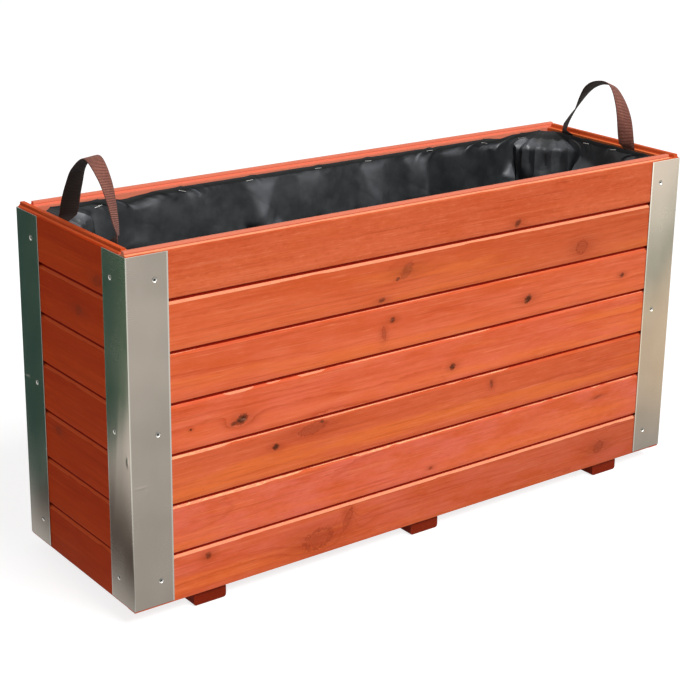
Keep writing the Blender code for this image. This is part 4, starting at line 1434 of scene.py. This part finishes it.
def settle(look, grid, folded, cloth, stage, space):
    # Lets the cloth fall on its threads for some steps, with some rounds of corrections in each
    steps, rounds, reach = stage
    high = space["high"]
    flat, folded, cloth = (points.reshape(-1, 3).copy() for points in (grid, folded, cloth))
    free, loose = heldPoints(look, grid, space)
    links = linkUp(look, folded, grid, space, loose, reach)
    lowest, room = clothLimits(look, flat, folded, space)
    onWalls = [(axis, np.abs(flat[:, axis]) > high[axis] - 0.0005) for axis in (1, 0)]
    speed = np.zeros_like(cloth)
    for _ in range(steps):
        before = cloth.copy()
        speed[:, 2] -= look["weight"] * look["timeStep"]
        cloth = cloth + speed * look["timeStep"] * free[:, None]
        for _ in range(rounds):
            for a, b, size, hard, bends in links:
                gap = cloth[b] - cloth[a]
                length = np.sqrt((gap * gap).sum(1)) + 1e-9
                error = np.minimum(length - size, 0) if bends else length - size
                pull = gap * (hard * error / length / np.maximum(free[a] + free[b], 1e-6))[:, None]
                cloth[a] += pull * free[a][:, None]
                cloth[b] -= pull * free[b][:, None]
            keepInside(look, cloth, space, lowest)
            for axis, chosen in onWalls:
                side = np.sign(flat[chosen, axis])
                cloth[chosen, axis] = side * np.maximum(side * cloth[chosen, axis], high[axis] - room[chosen])
        speed = np.clip((cloth - before) / look["timeStep"] * (1 - look["drag"]), -look["fastest"], look["fastest"])
    return cloth.reshape(grid.shape)


def hangBag(look, flat, space):
    # Folds the flat bag in and lets it settle, then again on a grid twice as fine
    folded = cloth = flat + foldIn(look, flat, space)
    for k, stage in enumerate(look["stages"]):
        if k:
            look = dict(look, long=look["long"] * 2, end=look["end"] * 2, cut=look["cut"] * 2)
            flat, before = finer(flat), finer(folded)
            folded = flat + foldIn(look, flat, space)
            cloth = finer(cloth) + folded - before
        cloth = settle(look, flat, folded, cloth, stage, space)
    return flat, cloth


linerPaint = {
    "dark": (0.0435, 0.0461, 0.0492),
    "light": (0.0690, 0.0731, 0.0780),
    "shadow": (0.0120, 0.0130, 0.0140),
    "right": (0.0950, 0.1010, 0.1080),
    "dust": (0.100, 0.107, 0.119),
    "corner": (0.010, 0.011, 0.012),
    "hem": (0.0060, 0.0066, 0.0068),
}


def linerSurface(paint):
    m = Surface("linerCloth", {"Specular IOR Level": 0.5})
    x, y, z = m.places()
    below, dust = m.attribute("below"), m.attribute("dust")
    warp = m.noise(x * 6, y * 6, z * 6) * 0.6
    creases = (m.noise((x + y + z * 0.8) * 13 + warp, z * 11, y * 11, 2.0, 0.4) - 0.5).math("ABSOLUTE")
    crumple = m.noise(x * 60, y * 60, z * 60, 4.0, 0.6)
    hem = 1.0 - m.rise(below + (crumple - 0.5) * 0.004, 0.0062, 0.0082)
    # Painted shade along the creases: the colour darkens where the relief sinks
    ground = m.mix(m.rise(crumple * 0.4 + creases * 1.2, 0.16, 0.50), paint["dark"], paint["light"])
    # Painted shade in one stretch and lighter at the right, then dust and painted light on what faces up,
    # painted shade in the gathered corners, and painted shade on the hem
    for share, name in (
            (m.rise(x, 0.10, 0.24, 0.0, 0.66) * m.rise(x, 0.36, 0.43, 1.0, 0.0), "shadow"),
            (m.rise(x, 0.43, 0.47, 0.0, 0.5), "right"),
            (m.rise(dust, 0.02, 0.46, 0.0, 0.8), "dust"),
            (m.rise(dust * -1, 0.0, 0.4, 0.0, 0.8), "corner"),
            (hem * 0.85, "hem")):
        ground = m.mix(share, ground, paint[name])
    rough = m.rise(crumple, 0.3, 0.7, 0.34, 0.48).math("MAXIMUM", hem * 0.85)
    relief = creases + crumple * 0.04
    return m.finish(height=relief, bumpDistance=0.008, bumpStrength=0.6, Base_Color=ground, Roughness=rough)


def floorRings(look, ring, space):
    # Rings that close the bag over the floor, which swells a little
    half = space["high"].x - space["high"].y
    middle = np.clip(ring[:, 0], -half, half)
    centre = np.column_stack([middle, 0 * middle, np.full(len(ring), space["low"].z)])
    rings = []
    for k, share in enumerate(look["floorShares"]):
        row = ring + (centre - ring) * share
        swell = (0.5 + 0.5 * np.sin(row[:, 0] * 61 + 7 * np.sin(row[:, 1] * 43 + k))) ** 3
        row[:, 2] += look["floorSwell"] * math.sin(math.pi * min(1, share * 2.2) / 2) * swell
        rings.append(row)
    return np.array(rings)


def weld(mesh, reach):
    # Joins points that met, and turns the faces inwards, to the soil
    bm = bmesh.new()
    bm.from_mesh(mesh)
    bmesh.ops.remove_doubles(bm, verts=bm.verts, dist=reach)
    bmesh.ops.dissolve_degenerate(bm, edges=bm.edges, dist=reach / 8)
    bmesh.ops.recalc_face_normals(bm, faces=bm.faces)
    if sum(f.normal.z * f.calc_area() for f in bm.faces) < 0:
        bmesh.ops.reverse_faces(bm, faces=bm.faces)
    bm.to_mesh(mesh)
    bm.free()
    mesh.update()


def makeLiner(look, space):
    low, high = space["low"], space["high"]
    flat = bag = bagStart(look, space)
    flat, bag = hangBag(look, flat, space)
    points = np.concatenate([bag, floorRings(look, bag[-1], space)])
    rows, columns = points.shape[:2]
    index = np.arange(rows * columns).reshape(rows, columns)
    after = np.roll(index, -1, axis=1)
    faces = np.stack([index[:-1], index[1:], after[1:], after[:-1]], axis=2).reshape(-1, 4)
    mesh = bpy.data.meshes.new("linerBag")
    mesh.from_pydata(points.reshape(-1, 3).tolist(), [], faces.tolist())
    below = np.ones((rows, columns))
    below[:len(bag)] = high.z - flat[:, :, 2]
    setLayer(mesh, "below", below)
    weld(mesh, look["weld"])
    # Dust and painted light on what faces up; painted shade instead in the gathered corners, which are darker
    corner = [smooth((abs(v.co.x) - high.x + 0.055) / 0.02) * smooth((abs(v.co.y) - high.y + 0.055) / 0.02)
              for v in mesh.vertices]
    setLayer(mesh, "dust", [n.vector.z * (1 - 0.95 * c) - 0.48 * c for n, c in zip(mesh.vertex_normals, corner)])
    made = place("linerBag", mesh, linerSurface(linerPaint), replaced=("liner",), smoothAngle=42.0)
    shell = made.modifiers.new("thickness", "SOLIDIFY")
    shell.thickness = look["thickness"]
    shell.offset = -1.0


linerRoom = linerSpace(liner)
makeLiner(liner, linerRoom)
print("liner ready")


staple = {"crown": 0.0122, "wire": 0.0012, "thickness": 0.0006, "leg": 0.0012, "inset": 0.0012, "askew": 0.12}


def stapleShape(look):
    # Crown along X, seen from +Z, with rounded shoulders
    w, h = look["wire"] / 2, look["thickness"] / 2
    half, leg, shoulder = look["crown"] / 2, look["leg"], look["thickness"] * 0.8
    line = [(-half, -leg), (-half, -h * 1.5), (-half + shoulder, 0.0), (half - shoulder, 0.0), (half, -h * 1.5),
            (half, -leg)]
    section = ((-1, -0.5), (-0.5, -1), (0.5, -1), (1, -0.5), (1, 0.5), (0.5, 1), (-0.5, 1), (-1, 0.5))
    rings = []
    for k, (x, z) in enumerate(line):
        ahead = Vector(line[min(k + 1, 5)]) - Vector(line[max(k - 1, 0)])
        normal = Vector((-ahead.y, ahead.x)).normalized()
        rings.append([(x + normal.x * n * h, a * w, z + normal.y * n * h) for a, n in section])
    bm = bmesh.new()
    loft(bm, rings)
    return meshOf("stapleShape", bm)


def makeStaples(look, space):
    random = np.random.default_rng(3)
    zinc = Surface("stapleSteel", {"Metallic": 1.0, "Roughness": 0.3, "Base Color": (0.72, 0.71, 0.68, 1.0)})
    places = []
    for wall, spot, drop in staples:
        axis, other, side = linerWalls[wall]
        point, facing = Vector((0, 0, space["high"].z - drop)), Vector((0, 0, 0))
        point[axis] = spot
        point[other] = side * (space["high"][other] - look["inset"])
        facing[other] = -side
        turn = facing.to_track_quat("Z", "Y").to_matrix().to_4x4()
        places.append(Matrix.Translation(point) @ turn @ Matrix.Rotation(look["askew"] * random.normal(), 4, "Z"))
    scatter("staples", stapleShape(look), places, zinc.finish())


makeStaples(staple, linerRoom)
print("staples ready")
